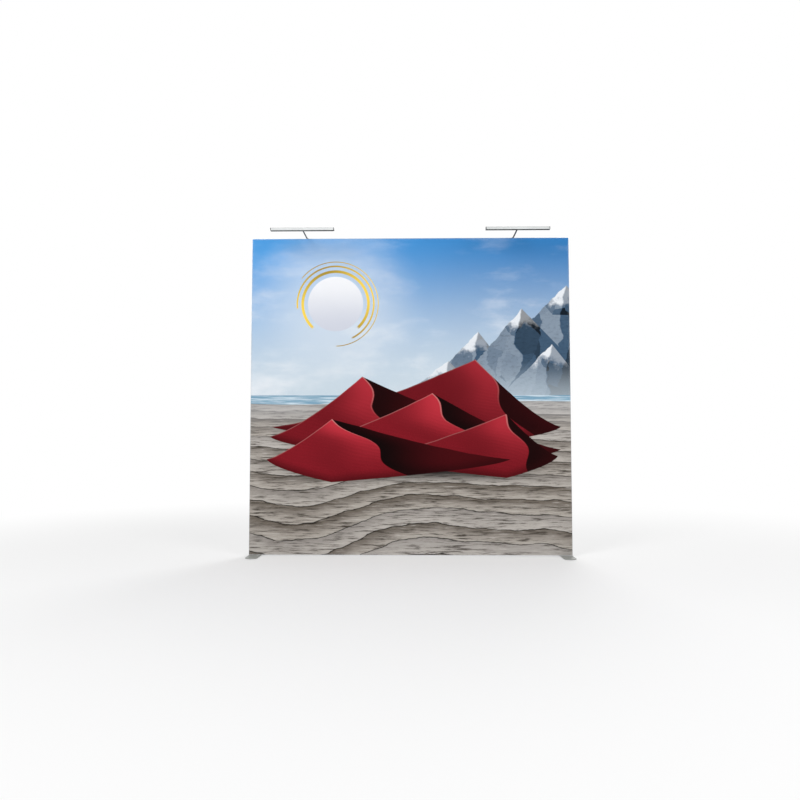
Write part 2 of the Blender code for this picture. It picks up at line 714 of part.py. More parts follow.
def make_light(build, side, sign):
    """One bar light: a clamp on the top rail, a swinging arm, and a lamp that tilts at its end."""
    x = sign * LIGHT_SPACING_SHARE * WALL_WIDTH
    clamp = build.pivot(f"clamp_{side}", (x, 0, TOP))
    build.piece(f"light_clamp_{side}", clamp_body(), "lamp_black", parent=clamp)
    screw_axis = build.pivot(f"screw_axis_{side}", (0, 0, -RAIL_MIDDLE), clamp)
    build.piece(f"light_nut_{side}", clamp_nut(), "steel", parent=screw_axis)
    build.piece(f"light_knob_{side}", clamp_knob(), "black_plastic", parent=screw_axis, smooth=True)
    arm_axis = build.pivot(f"arm_axis_{side}", (0, ARM_AXIS_DEPTH, ARM_HEIGHT), clamp)
    build.piece(f"light_arm_{side}", arm_mesh(), "lamp_black", parent=arm_axis, smooth=True)

    tilt_axis = build.pivot(f"tilt_axis_{side}", (0, EYE_DEPTH - ARM_AXIS_DEPTH, 0), arm_axis)
    build.piece(f"lamp_housing_{side}", lamp_housing(sign), "lamp_silver", parent=tilt_axis)
    half_length = LAMP_LENGTH / 2 - LAMP_CAP - GAP
    low = -LAMP_HEIGHT / 2
    inset = LAMP_WALL + GAP
    lens_low = (-half_length, LAMP_FRONT + inset, low)
    lens_high = (half_length, LAMP_REAR - inset, low + LENS_THICKNESS)
    build.piece(f"lamp_diffuser_{side}", box(lens_low, lens_high), "opal", parent=tilt_axis)
    offset = (LAMP_LENGTH - LAMP_CAP) / 2
    for end, direction in (("inner", -sign), ("outer", sign)):
        cap = side_extrusion(lamp_outline(), LAMP_CAP)
        build.piece(f"lamp_end_cap_{end}_{side}", cap, "black_plastic", (direction * offset, 0, 0), parent=tilt_axis)


def main():
    clear_scene()
    build = Builder()
    make_graphic(build)
    make_rails(build)
    make_corners(build)
    make_braces(build)
    make_feet(build)
    for side, sign in SIDES.items():
        make_light(build, side, sign)
    bpy.context.view_layer.update()


main()
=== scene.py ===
"""Display wall: the finished look of a fabric wall on a take-apart aluminium frame.

Every length is in metres, +Z is up and the print faces -Y. Depth is measured from the fabric's front
towards +Y. Run it as a script: it loads the frame, builds each group of pieces and sets the stage.
"""
import json
from math import acos, cos, pi, radians, sin, sqrt, tau

import bmesh
import bpy
import numpy as np
from bpy.props import FloatProperty, FloatVectorProperty, IntProperty, PointerProperty
from mathutils import Matrix, Vector


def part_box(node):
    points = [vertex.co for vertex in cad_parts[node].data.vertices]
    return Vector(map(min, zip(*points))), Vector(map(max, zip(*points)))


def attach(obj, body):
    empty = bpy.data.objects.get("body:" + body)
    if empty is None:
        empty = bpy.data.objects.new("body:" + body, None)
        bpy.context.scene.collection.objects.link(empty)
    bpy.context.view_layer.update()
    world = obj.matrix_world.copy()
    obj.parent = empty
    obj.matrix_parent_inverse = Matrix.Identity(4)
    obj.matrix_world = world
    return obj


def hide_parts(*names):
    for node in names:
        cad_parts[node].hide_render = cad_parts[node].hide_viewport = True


bl_info = {
    "name": "Display Wall",
    "version": (1, 0, 0),
    "blender": (4, 5, 0),
    "location": "3D View > Sidebar > Display Wall",
    "description": "Builds a fabric display wall with its rail frame, feet and bar lights",
    "category": "Add Mesh",
}

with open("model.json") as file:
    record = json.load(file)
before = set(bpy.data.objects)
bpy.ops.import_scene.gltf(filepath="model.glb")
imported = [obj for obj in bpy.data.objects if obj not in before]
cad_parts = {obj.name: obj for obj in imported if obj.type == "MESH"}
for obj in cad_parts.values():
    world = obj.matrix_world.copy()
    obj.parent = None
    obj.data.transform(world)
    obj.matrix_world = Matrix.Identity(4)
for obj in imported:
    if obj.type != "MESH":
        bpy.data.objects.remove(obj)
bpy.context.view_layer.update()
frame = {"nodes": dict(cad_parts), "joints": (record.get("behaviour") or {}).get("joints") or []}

SIDES = {"left": -1, "right": 1}
LEVELS = {"bottom": -1, "top": 1}
WALL = "wall"


def mm(*values):
    """Millimetres as metres, one length or several."""
    lengths = tuple(value * 0.001 for value in values)
    return lengths if len(lengths) > 1 else lengths[0]


# Sizes that the dressed pieces share with the frame
RAIL_WALL, RAIL_WIDTH, RAIL_FACE, RAIL_REAR = mm(1.8, 30, 1.1, 31.1)
GROOVE_WIDTH, GROOVE_DEPTH = mm(3.6, 12.6)
SLOT_WIDTH, POST_WIDTH, POST_DEPTH = mm(8, 24, 22)
SEAT = mm(31.4)
ARM_RADIUS = mm(4.75)
GAP = mm(0.3)
WELD = 1e-6
SHARP = radians(35)


# ---------------------------------------------------------------- settings

def colour_setting(name, text, value):
    return FloatVectorProperty(name=name, description=text, subtype="COLOR", min=0, max=1, default=value)


def length_setting(name, text, value):
    return FloatProperty(name=name, description=text, unit="LENGTH", precision=5, min=0, default=value)


class PrintSettings(bpy.types.PropertyGroup):
    sky_left: colour_setting("Sky, left", "Sky at the upper left of the print", (0.080, 0.350, 0.770))
    sky_right: colour_setting("Sky, right", "Sky at the upper right of the print", (0.034, 0.205, 0.510))
    haze: colour_setting("Haze", "Pale sky above the horizon", (0.62, 0.72, 0.80))
    crimson: colour_setting("Crimson", "The dunes' main colour", (0.360, 0.014, 0.026))
    gold: colour_setting("Gold", "The rings round the disc", (0.560, 0.370, 0.055))
    slate: colour_setting("Slate", "The ridge's shaded faces", (0.055, 0.105, 0.175))
    plain: colour_setting("Plain", "The weathered ground", (0.165, 0.140, 0.115))
    weave: length_setting("Weave", "Spacing of the knitted yarns", mm(0.9))


class FabricSettings(bpy.types.PropertyGroup):
    hem: length_setting("Hem", "Width of the doubled hem", mm(11))
    stitch_pitch: length_setting("Stitch pitch", "Distance from stitch to stitch", mm(4))
    stitch_length: length_setting("Stitch length", "Length of one stitch", mm(3.1))
    stitch_width: length_setting("Stitch width", "Thickness of the thread", mm(0.6))
    swell: length_setting("Swell", "How far the stretched fabric bows between its edges", mm(1.1))
    squares: IntProperty(name="Squares", description="Mesh squares each way", min=20, max=200, default=150)


class FrameSettings(bpy.types.PropertyGroup):
    rail: colour_setting("Rail", "Anodised aluminium", (0.60, 0.61, 0.63))
    fillet: length_setting("Fillet", "Rounding of the rails' edges", mm(0.5))
    bevel: length_setting("Bevel", "Rounding of the plates' edges", mm(0.5))


class LightSettings(bpy.types.PropertyGroup):
    face: colour_setting("Housing", "Light grey paint of the lamp housings", (0.61, 0.63, 0.63))
    dark: colour_setting("Arm", "Dark paint of the arms and clamps", (0.014, 0.015, 0.017))
    emitters: IntProperty(name="Emitters", description="Emitters in each lamp", min=4, max=60, default=28)


class StageSettings(bpy.types.PropertyGroup):
    lens: FloatProperty(name="Lens", description="Focal length", subtype="DISTANCE_CAMERA", default=32.52)
    camera: FloatVectorProperty(name="Camera", description="Place of the camera", subtype="XYZ",
                                unit="LENGTH", default=(0.020, -5.111, 0.814))
    aim: FloatVectorProperty(name="Aim", description="Rotation of the camera", subtype="EULER",
                             default=(radians(93.16), 0, radians(1.02)))
    floor: colour_setting("Floor", "Pale studio floor", (0.86, 0.86, 0.86))


class WallSettings(bpy.types.PropertyGroup):
    print: PointerProperty(type=PrintSettings)
    fabric: PointerProperty(type=FabricSettings)
    frame: PointerProperty(type=FrameSettings)
    lights: PointerProperty(type=LightSettings)
    stage: PointerProperty(type=StageSettings)


# ---------------------------------------------------------------- node trees

def arithmetic(operation):
    return lambda value, other: value.graph.math(operation, value, other)


class Value:
    """A node's output. Arithmetic on it adds Math nodes."""
    __add__ = __radd__ = arithmetic("ADD")
    __mul__ = __rmul__ = arithmetic("MULTIPLY")
    __sub__, __truediv__, __pow__ = arithmetic("SUBTRACT"), arithmetic("DIVIDE"), arithmetic("POWER")

    def __init__(self, graph, socket):
        self.graph, self.socket = graph, socket

    def __rsub__(self, other):
        return self.graph.math("SUBTRACT", other, self)

    def __abs__(self):
        return self.graph.math("ABSOLUTE", self)


class Graph:
    """Adds nodes to a tree. Inputs are numbers, tuples or values."""

    def __init__(self, tree):
        self.tree = tree

    def feed(self, socket, value):
        if isinstance(value, Value):
            self.tree.links.new(value.socket, socket)
        elif socket.type == "RGBA":
            socket.default_value = (*value, 1)
        else:
            socket.default_value = value

    def node(self, kind, inputs=None, **settings):
        node = self.tree.nodes.new(kind)
        for name, value in settings.items():
            setattr(node, name, value)
        for name, value in (inputs or {}).items():
            self.feed(node.inputs[name], value)
        return node

    def call(self, kind, inputs=None, output=0, **settings):
        return Value(self, self.node(kind, inputs, **settings).outputs[output])

    def results(self, node):
        return {socket.name: Value(self, socket) for socket in node.outputs}

    def group(self, tree, **inputs):
        return self.results(self.node("ShaderNodeGroup", inputs, node_tree=tree))

    def math(self, operation, *values):
        return self.call("ShaderNodeMath", dict(enumerate(values)), operation=operation)

    def most(self, a, b):
        return self.math("MAXIMUM", a, b)

    def wave(self, value, frequency, phase=0.0):
        return self.math("SINE", value * frequency + phase)

    def step(self, value, low, high):
        """0 below low and 1 above high, smooth between them. With high below low it falls."""
        inputs = {"Value": value, "From Min": low, "From Max": high}
        return self.call("ShaderNodeMapRange", inputs, interpolation_type="SMOOTHSTEP")

    def mix(self, share, a, b, blend="MIX"):
        return self.call("ShaderNodeMix", {0: share, 6: a, 7: b}, 2, data_type="RGBA", blend_type=blend)

    def layers(self, colour, *layers):
        """The colour with others laid over it in turn, each given as its share and its colour."""
        for share, over in layers:
            colour = self.mix(share, colour, over)
        return colour

    def noise(self, vector, scale, detail=3.0, roughness=0.5):
        inputs = {"Vector": vector, "Scale": scale, "Detail": detail, "Roughness": roughness}
        return self.call("ShaderNodeTexNoise", inputs)

    def scaled(self, vector, factors):
        return self.call("ShaderNodeMapping", {"Vector": vector, "Scale": factors})

    def vector(self, x, y, z):
        return self.call("ShaderNodeCombineXYZ", {"X": x, "Y": y, "Z": z})

    def parts(self, vector):
        return self.results(self.node("ShaderNodeSeparateXYZ", {0: vector})).values()

    def place(self):
        return self.call("ShaderNodeTexCoord", output="Object")

    def bump(self, height, distance, strength):
        return self.call("ShaderNodeBump", {"Height": height, "Distance": distance, "Strength": strength})

    def seen(self):
        """1 for rays from the camera, also by way of a mirror or glass."""
        paths = self.results(self.node("ShaderNodeLightPath"))
        camera, glossy, clear = (paths[f"Is {kind} Ray"] for kind in ("Camera", "Glossy", "Transmission"))
        return self.most(camera, self.most(glossy, clear))


def node_tree(kind, name, inputs, outputs, build):
    """A node tree, made once. build takes its graph and its inputs by name, and returns its outputs."""
    tree = bpy.data.node_groups.get(name)
    if tree:
        return tree
    tree = bpy.data.node_groups.new(name, kind)
    for in_out, sockets in (("INPUT", inputs), ("OUTPUT", outputs)):
        for label, socket in sockets.items():
            tree.interface.new_socket(name=label, in_out=in_out, socket_type="NodeSocket" + socket)
    graph = Graph(tree)
    results = build(graph, graph.results(graph.node("NodeGroupInput")))
    for socket, result in zip(graph.node("NodeGroupOutput").inputs, results):
        graph.feed(socket, result)
    return tree


def texture_group(name, build, **numbers):
    """A shader group that turns a place, and the named inputs, into a tone and a height."""
    inputs = {"Vector": "Vector", **numbers}
    return node_tree("ShaderNodeTree", name, inputs, {"Tone": "Float", "Height": "Float"}, build)


def uneven_group():
    """Slow and fine unevenness of a finish, its tone about 0.5."""
    def build(g, given):
        slow = g.noise(given["Vector"], given["Slow"], 3.0)
        fine = g.noise(given["Vector"], given["Fine"], 4.0, 0.6)
        return slow * 0.65 + fine * 0.35, fine
    return texture_group("uneven_finish", build, Slow="Float", Fine="Float")


def drawn_group():
    """Fine lines that run along an extrusion. Stretch shrinks the vector along the run."""
    def build(g, given):
        inputs = {0: given["Vector"], 1: given["Stretch"]}
        stretched = g.call("ShaderNodeVectorMath", inputs, operation="MULTIPLY")
        lines = g.noise(stretched, 900.0, 2.0, 0.7)
        bands = g.noise(stretched, 160.0, 2.0)
        return lines * 0.7 + bands * 0.3, lines
    return texture_group("drawn_lines", build, Stretch="Vector")


def knit_group():
    """Knitted yarns: columns of loops along Z, each row shifted by the next. The tone is 0 between loops."""
    def build(g, given):
        x, _, z = g.parts(given["Vector"])
        across, up = x / given["Pitch"], z / given["Pitch"]
        zigzag = g.math("PINGPONG", up, 0.5) * 0.45
        column = g.math("PINGPONG", across + zigzag, 0.5)
        row = g.math("PINGPONG", up + column * 0.6, 0.5)
        loop = g.step(column, 0.03, 0.40) * g.step(row, 0.02, 0.34)
        slub = g.noise(g.scaled(given["Vector"], (260.0, 260.0, 60.0)), 1.0, 2.0)
        return loop, loop * 0.8 + slub * 0.2
    return texture_group("knit", build, Pitch="Float")


def scuff_group():
    """Sparse short scratches and rubbed spots, 1 where the finish is worn."""
    def build(g, given):
        place = given["Vector"]
        cells = {"Vector": g.scaled(place, (1.0, 1.0, 0.16)), "Scale": 70.0}
        scratches = g.step(g.call("ShaderNodeTexVoronoi", cells, feature="DISTANCE_TO_EDGE"), 0.012, 0.0)
        patch = g.step(g.noise(place, 35.0, 2.0), 0.58, 0.72)
        rubbed = g.step(g.noise(place, 9.0, 5.0, 0.7), 0.68, 0.80)
        return (g.most(scratches * patch, rubbed * 0.45) * given["Amount"],)
    inputs = {"Vector": "Vector", "Amount": "Float"}
    return node_tree("ShaderNodeTree", "scuffs", inputs, {"Worn": "Float"}, build)


# ---------------------------------------------------------------- the print
# u runs across it, from -0.5 to 0.5, and v up it, from 0 to 1

SNOW, LIT_ROCK = (0.88, 0.91, 0.95), (0.250, 0.315, 0.395)
WATER, GLINT = (0.215, 0.385, 0.520), (0.66, 0.78, 0.86)
DISC_U, DISC_V, DISC_RADIUS = -0.235, 0.790, 0.0885
PLAIN_TOP, LAKE_TOP = 0.478, 0.4995
RINGS = (
    # radius, half its width, where it is open and how wide
    (0.104, 0.0052, 0.0, 0.20),
    (0.121, 0.0030, 0.5, 0.35),
    (0.135, 0.0016, 1.1, 0.50),
)
PEAKS = (
    # top, then the slopes of its left and right flanks
    (0.215, 0.700, 1.00, 1.30),
    (0.490, 0.850, 1.05, 1.20),
    (0.350, 0.775, 1.20, 1.05),
    (0.120, 0.610, 0.80, 1.10),
    (0.445, 0.660, 1.00, 1.30),
)
DUNES = (
    # summit, reach to the left and to the right, foot height, lean and swing of the ridge, tone
    (0.205, 0.612, 0.640, 0.265, 0.400, 0.150, 0.030, 0.62),
    (-0.150, 0.560, 0.290, 0.520, 0.370, 0.120, 0.034, 0.80),
    (0.070, 0.505, 0.460, 0.400, 0.330, 0.160, 0.040, 0.96),
    (0.300, 0.440, 0.420, 0.160, 0.310, 0.060, 0.018, 0.84),
    (-0.245, 0.425, 0.205, 0.560, 0.300, 0.170, 0.030, 1.00),
)


def shade(colour, factor, lift=0.0):
    return [min(1, c * factor + lift) for c in colour]


def sky(g, u, v, paint):
    high = g.mix(g.step(u, -0.45, 0.5), paint["sky_left"], paint["sky_right"])
    cloud = g.noise(g.vector(u * 1.1, 0.0, v * 3.1), 2.6, 6.0, 0.58)
    thick = g.step(v, 1.0, 0.62) * 0.55 + 0.22
    return g.layers(paint["haze"], (g.step(v, 0.50, 1.02), high), (g.step(cloud, 0.47, 0.72) * thick, SNOW))


def disc(g, u, v, under, paint):
    """A pale disc with gold rings, open below, at the upper left."""
    x, y = u - DISC_U, v - DISC_V
    away = g.math("SQRT", x * x + y * y)
    face = g.mix(g.step(y, -0.09, 0.09), (0.64, 0.67, 0.76), (0.92, 0.93, 0.96))
    colour = g.layers(under, (g.step(away, 0.30, 0.06) * 0.55, (0.78, 0.83, 0.88)),
                      (g.step(away, DISC_RADIUS, DISC_RADIUS - 0.002), face))
    angle, gold = g.math("ARCTAN2", y, x), paint["gold"]
    gold = g.mix(g.wave(angle, 2.0, 0.9) * 0.38 + 0.62, shade(gold, 0.45), shade(gold, 1.9))
    for radius, half, turned_by, share in RINGS:
        ring = g.step(abs(away - radius), half, half * 0.7)
        closed = g.step(g.wave(angle, 1.0, turned_by), share - 0.96, share - 0.90)
        colour = g.mix(ring * closed, colour, gold)
    return colour


def ridge(g, u, v, under, paint):
    """Angular peaks at the right, broken into flat facets, the left flanks lit and the right ones shaded."""
    where = g.vector(u, 0.0, v)
    rough = g.noise(where, 20.0, 5.0, 0.65) - 0.5
    bent = g.call("ShaderNodeVectorMath", {0: where, 1: g.vector(rough * 0.05, 0.0, 0.0)}, operation="ADD")
    cells = {"Vector": g.scaled(bent, (1.0, 1.0, 0.62)), "Scale": 21.0}
    facet, _, _ = g.parts(g.call("ShaderNodeTexVoronoi", cells, "Color"))
    rock = g.step(g.noise(g.scaled(where, (1.0, 1.0, 2.0)), 60.0, 6.0, 0.66), 0.45, 0.75)
    mist = g.step(v, 0.62, 0.47) * 0.55
    dark, colour = shade(paint["slate"], 0.12), under
    for top_u, top_v, left, right in PEAKS:
        x, drop = u - top_u + rough * 0.014, top_v - v
        outside, inside = g.most(x * -1.0, 0.0) * left, g.most(x, 0.0) * right
        skyline = top_v - outside - inside + rough * 0.018
        fold = (g.noise(g.vector(0.0, top_u, drop), 9.0, 3.0) - 0.5) * (drop * 0.9)
        lit = g.step(x + drop * 0.16 - fold, 0.003, -0.003)
        tone = lit * 0.52 + facet * 0.46 - 0.06
        snow = g.step(drop + rough * 0.12, 0.070, 0.040) * (lit * 0.65 + 0.35)
        face = g.layers(dark, (g.step(tone, 0.02, 0.34), paint["slate"]),
                        (g.step(tone, 0.36, 0.86), LIT_ROCK),
                        (rock * 0.35, dark), (snow * 0.92, SNOW), (mist, paint["haze"]))
        colour = g.mix(g.step(skyline - v, 0.0, 0.0025), colour, face)
    return colour


def lake(g, u, v, under):
    glints = g.step(g.noise(g.vector(u * 9.0, 0.0, v * 260.0), 1.0, 3.0), 0.45, 0.62)
    return g.mix(g.step(v, LAKE_TOP, LAKE_TOP - 0.002), under, g.mix(glints, WATER, GLINT))


def ground(g, u, v, under, paint):
    """A wide plain of wind-drawn ridges that grow towards the bottom edge."""
    drop = g.most(0.486 - v, 0.0)
    bend = g.wave(u, 5.2, 0.6) + g.wave(u, 11.0, 2.0) * 0.35
    wobble = g.noise(g.vector(u * 4.0, 0.0, v * 9.0), 2.0, 4.0)
    rows = drop ** 0.62 * 23.0 + bend * (drop * 1.6 + 0.30) + wobble * 0.75
    saw, number = g.math("FRACT", rows), g.math("FLOOR", rows)
    grain = g.noise(g.vector(u * 16.0, number * 3.7, v * 210.0), 1.0, 6.0, 0.68)
    tint = g.call("ShaderNodeTexWhiteNoise", {"W": number}, noise_dimensions="1D")
    crease = g.most(g.step(saw, 0.070, 0.0), g.step(saw, 0.970, 1.0))
    colour = g.layers(
        paint["plain"],
        (g.step(saw, 0.02, 0.95), (0.455, 0.415, 0.370)),
        (g.step(tint, 0.35, 1.0) * 0.55, (0.60, 0.570, 0.545)),
        (g.step(grain, 0.52, 0.33), shade(paint["plain"], 0.42)),
        (g.step(grain, 0.55, 0.72) * 0.60, (0.70, 0.665, 0.625)),
        (crease * 0.92, (0.010, 0.009, 0.008)),
        (g.step(v, 0.36, 0.48) * 0.50, (0.50, 0.500, 0.505)),
    )
    return g.mix(g.step(bend * 0.006 + PLAIN_TOP - v, 0.0, 0.002), under, colour)


def dunes(g, u, v, under, paint):
    """Crimson dunes across the middle. A winding ridge parts each one's lit side from its shaded side."""
    where = g.vector(u, 0.0, v)
    drift = g.noise(where, 5.0, 3.0) - 0.5
    grain = g.step(g.noise(g.scaled(where, (1.0, 1.0, 1.6)), 260.0, 3.0, 0.6), 0.35, 0.75)
    ripples = g.wave(v + u * 0.22 + drift * 0.05, 560.0) * 0.5 + 0.5
    shadow = g.step(abs(u - 0.01), 0.47, 0.22) * g.step(v, 0.215, 0.262) * g.step(v, 0.40, 0.30)
    colour = g.mix(shadow * 0.90, under, (0.005, 0.004, 0.004))
    red = paint["crimson"]
    bright = shade(red, 1.5, 0.012)
    for number, (top_u, top_v, left, right, foot, lean, swing, tone) in enumerate(DUNES):
        x, height = u - top_u, top_v - foot
        share = g.most(1.0 - g.most(x * (-1.0 / left), x * (1.0 / right)), 0.0)
        below = foot + share ** 1.35 * height + drift * 0.012 - v
        above = v - (foot - share ** 0.60 * (0.060 + 0.004 * number))
        drop = g.most((top_v - v) * (1.0 / height), 0.0)
        winding = g.wave(drop, 5.6, 0.4 + number) * (g.math("MINIMUM", drop * 2.0, 1.0) * swing)
        off = x - drop * lean - winding
        lit = g.step(off, 0.0016, -0.0016)
        glow = g.step(off, -0.20, -0.004) * g.step(drop, 1.3, 0.1)
        bowl = g.step(abs(off + 0.10 + drop * 0.05), 0.10, 0.0)
        day = g.layers(shade(red, 0.62), (glow, bright), (bowl * 0.34, shade(red, 0.30)),
                       (ripples * (g.step(drop, 0.15, 0.8) * 0.20), shade(red, 0.42)))
        night = g.mix(g.step(off, 0.0, 0.24), shade(red, 0.010), shade(red, 0.17))
        edge = g.step(abs(off + 0.0022), 0.0034, 0.0004) * g.step(drop, 0.85, 0.0)
        body = g.layers(
            night, (lit, day), (grain * lit * 0.16, bright), (edge * 0.65, (0.66, 0.30, 0.28)),
            (g.step(below, 0.0050, 0.0010) * lit * 0.45, (0.60, 0.25, 0.24)),
            (g.step(above, 0.035, 0.0) * 0.60, shade(red, 0.05)), (1.0 - tone, shade(red, 0.10)))
        colour = g.mix(g.step(below, 0.0, 0.0014) * g.step(above, 0.0, 0.0020), colour, body)
    return colour


def design_group(settings):
    """The whole print, as a colour over the wall's front."""
    paint = {name: getattr(settings, name) for name in
             ("sky_left", "sky_right", "haze", "crimson", "gold", "slate", "plain")}
    low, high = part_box("fabric_panel")

    def build(g, given):
        x, _, z = g.parts(given["Vector"])
        u, v = x / (high.x - low.x), (z - low.z) / (high.z - low.z)
        colour = disc(g, u, v, sky(g, u, v, paint), paint)
        colour = lake(g, u, v, ridge(g, u, v, colour, paint))
        return (dunes(g, u, v, ground(g, u, v, colour, paint), paint),)
    return node_tree("ShaderNodeTree", "print_design", {"Vector": "Vector"}, {"Color": "Color"}, build)


# ---------------------------------------------------------------- finishes

def new_finish(name, build):
    """A material, made once. build takes its graph and place, and returns what the Principled BSDF gets."""
    material = bpy.data.materials.get(name)
    if material:
        return material
    material = bpy.data.materials.new(name)
    material.use_nodes = True
    graph = Graph(material.node_tree)
    shader = material.node_tree.nodes["Principled BSDF"]
    for label, value in build(graph, graph.place()).items():
        graph.feed(shader.inputs[label], value)
    return material


def printed_finish(name, settings, strength):
    """The dyed knit. Strength is how much of the print shows over the white yarn."""
    def build(g, place):
        design = g.group(design_group(settings), Vector=place)["Color"]
        knit = g.group(knit_group(), Vector=place, Pitch=settings.weave)
        tone = g.group(uneven_group(), Vector=place, Slow=2.2, Fine=140.0)["Tone"]
        colour = g.mix(strength, (0.80, 0.80, 0.79), design)
        # Painted shade: the colour is darkened between the knit's loops, where the knit tone is 0.
        colour = g.mix((1.0 - knit["Tone"]) * 0.16, colour, (0.0, 0.0, 0.0), "MULTIPLY")
        return {"Base Color": g.mix(0.06, colour, tone, "OVERLAY"), "Roughness": tone * 0.14 + 0.66,
                "Sheen Weight": 0.02, "Sheen Roughness": 0.4, "Specular IOR Level": 0.05,
                "Normal": g.bump(knit["Height"], 0.00012, 0.5)}
    return new_finish(name, build)


def mottled(g, tone, colour, dark, pale, worn, beneath, low=0.35):
    """The colour from a darker to a paler shade by tone, and what is beneath it where it is worn."""
    return g.layers(shade(colour, dark), (g.step(tone, low, 1.0 - low), shade(colour, pale)), (worn, beneath))


def metal_finish(name, colour, stretch, roughness):
    """Satin metal with lines along its run, a little uneven, with light scuffs."""
    def build(g, place):
        lines = g.group(drawn_group(), Vector=place, Stretch=stretch)
        uneven = g.group(uneven_group(), Vector=place, Slow=6.0, Fine=260.0)
        worn = g.group(scuff_group(), Vector=place, Amount=0.35)["Worn"]
        tone = lines["Tone"] * 0.5 + uneven["Tone"] * 0.5
        return {"Base Color": mottled(g, tone, colour, 0.86, 1.07, worn, shade(colour, 1.25), 0.34),
                "Metallic": 1.0, "Roughness": roughness + (tone - 0.5) * 0.22 + worn * 0.12,
                "Normal": g.bump(lines["Height"], 0.00002, 0.45)}
    return new_finish(name, build)


def painted_finish(name, colour, roughness, metal, amount, peel=0.00004, specular=0.5):
    """Powder coat: an orange-peel skin over a metal that shows where it is rubbed."""
    def build(g, place):
        uneven = g.group(uneven_group(), Vector=place, Slow=7.0, Fine=900.0)
        worn = g.group(scuff_group(), Vector=place, Amount=amount)["Worn"]
        tone = uneven["Tone"]
        return {"Base Color": mottled(g, tone, colour, 0.90, 1.08, worn, (metal, metal, metal)),
                "Roughness": roughness + (tone - 0.5) * 0.25 + worn * 0.15, "Specular IOR Level": specular,
                "Normal": g.bump(uneven["Height"], peel, 0.6)}
    return new_finish(name, build)


def moulded_finish(name, colour, roughness, grain=0.00005, coat=0.0):
    """Moulded plastic or rubber with a fine spark-eroded grain and paler scuffs."""
    def build(g, place):
        uneven = g.group(uneven_group(), Vector=place, Slow=12.0, Fine=1600.0)
        worn = g.group(scuff_group(), Vector=place, Amount=0.4)["Worn"]
        tone = uneven["Tone"]
        return {"Base Color": mottled(g, tone, colour, 0.85, 1.15, worn, shade(colour, 1.6, 0.03)),
                "Roughness": roughness + (tone - 0.5) * 0.20, "Coat Weight": coat,
                "Normal": g.bump(uneven["Height"], grain, 0.7)}
    return new_finish(name, build)


def diffuser_finish(name):
    """Unlit prismatic cover: smoke grey, kept near black as painted shade for the lamp's shaded underside,
    with a soft sheen and fine lines along it.
    """
    def build(g, place):
        lines = g.group(drawn_group(), Vector=place, Stretch=(0.01, 1.0, 1.0))
        tone = g.group(uneven_group(), Vector=place, Slow=9.0, Fine=500.0)["Tone"]
        # Painted shade: the cover's grey is kept near black so that the lamp's underside reads as shaded.
        return {"Base Color": g.mix(tone, (0.016, 0.017, 0.018), (0.036, 0.038, 0.040)),
                "Roughness": tone * 0.16 + 0.42, "Specular IOR Level": 0.04,
                "Normal": g.bump(lines["Height"], 0.00003, 0.5)}
    return new_finish(name, build)


def finish_table():
    """Each finish by its short name: the slot of the pieces that wear it, then how it is made."""
    wall = bpy.context.scene.display_wall
    rail, face, dark = wall.frame.rail, wall.lights.face, wall.lights.dark
    along_x, along_z, even = (0.004, 1.0, 1.0), (1.0, 1.0, 0.004), (1.0, 1.0, 1.0)
    return {
        "print": ("printed_fabric", printed_finish, "printed_knit", wall.print, 1.0),
        "reverse": ("printed_fabric", printed_finish, "printed_knit_reverse", wall.print, 0.20),
        "thread": ("printed_fabric", moulded_finish, "polyester_thread", (0.62, 0.62, 0.61), 0.60),
        "rail_level": ("rail_silver", metal_finish, "anodised_level", rail, along_x, 0.34),
        "rail_upright": ("rail_silver", metal_finish, "anodised_upright", rail, along_z, 0.34),
        "zinc": ("steel", metal_finish, "zinc_plate", (0.52, 0.53, 0.53), even, 0.36),
        "bright": ("steel", metal_finish, "bright_steel", (0.62, 0.62, 0.61), even, 0.24),
        "cast": ("steel", painted_finish, "die_cast_zinc", (0.36, 0.37, 0.38), 0.48, 0.50, 0.2),
        "silicone": ("silicone", moulded_finish, "silicone_strip", (0.66, 0.66, 0.62), 0.42, 0.00003),
        "plastic": ("black_plastic", moulded_finish, "black_nylon", (0.022, 0.022, 0.024), 0.46),
        "rubber": ("rubber", moulded_finish, "black_rubber", (0.018, 0.018, 0.018), 0.82, 0.00009),
        "foot": ("foot_paint", painted_finish, "foot_powder_coat", (0.325, 0.335, 0.320), 0.44, 0.62, 0.55),
        "dark": ("lamp_black", painted_finish, "dark_satin_paint", dark, 0.50, 0.20, 0.35, 0.00002, 0.22),
        "lamp": ("lamp_silver", painted_finish, "lamp_paint", face, 0.36, 0.75, 0.25, 0.00002),
        "diffuser": ("opal", diffuser_finish, "smoke_diffuser"),
        "board": ("opal", moulded_finish, "lamp_board", (0.62, 0.64, 0.62), 0.40),
        "emitter": ("opal", moulded_finish, "emitter_gel", (0.78, 0.62, 0.16), 0.25, 0.00002, 0.6),
    }


def finish(name):
    _, make, *values = finish_table()[name]
    return make(*values)


# ---------------------------------------------------------------- meshes

def to_mesh(shape, name="shape"):
    mesh = bpy.data.meshes.new(name)
    shape.to_mesh(mesh)
    shape.free()
    return mesh


def listed(name, points, edges=(), faces=()):
    mesh = bpy.data.meshes.new(name)
    mesh.from_pydata(points, edges, faces)
    return mesh


def cleaned(mesh):
    """Doubles merged and faces turned outwards."""
    shape = bmesh.new()
    shape.from_mesh(mesh)
    bmesh.ops.remove_doubles(shape, verts=shape.verts, dist=WELD)
    bmesh.ops.recalc_face_normals(shape, faces=shape.faces)
    shape.to_mesh(mesh)
    shape.free()
    return mesh


def moved(mesh, *matrices):
    for matrix in matrices:
        mesh.transform(matrix)
        if matrix.determinant() < 0:
            mesh.flip_normals()
    return mesh


def at(x, y, z):
    return Matrix.Translation((x, y, z))


def mirror(x=1, z=1):
    return Matrix.Diagonal((x, 1, z, 1))


def turn(degrees, axis):
    return Matrix.Rotation(radians(degrees), 4, axis)


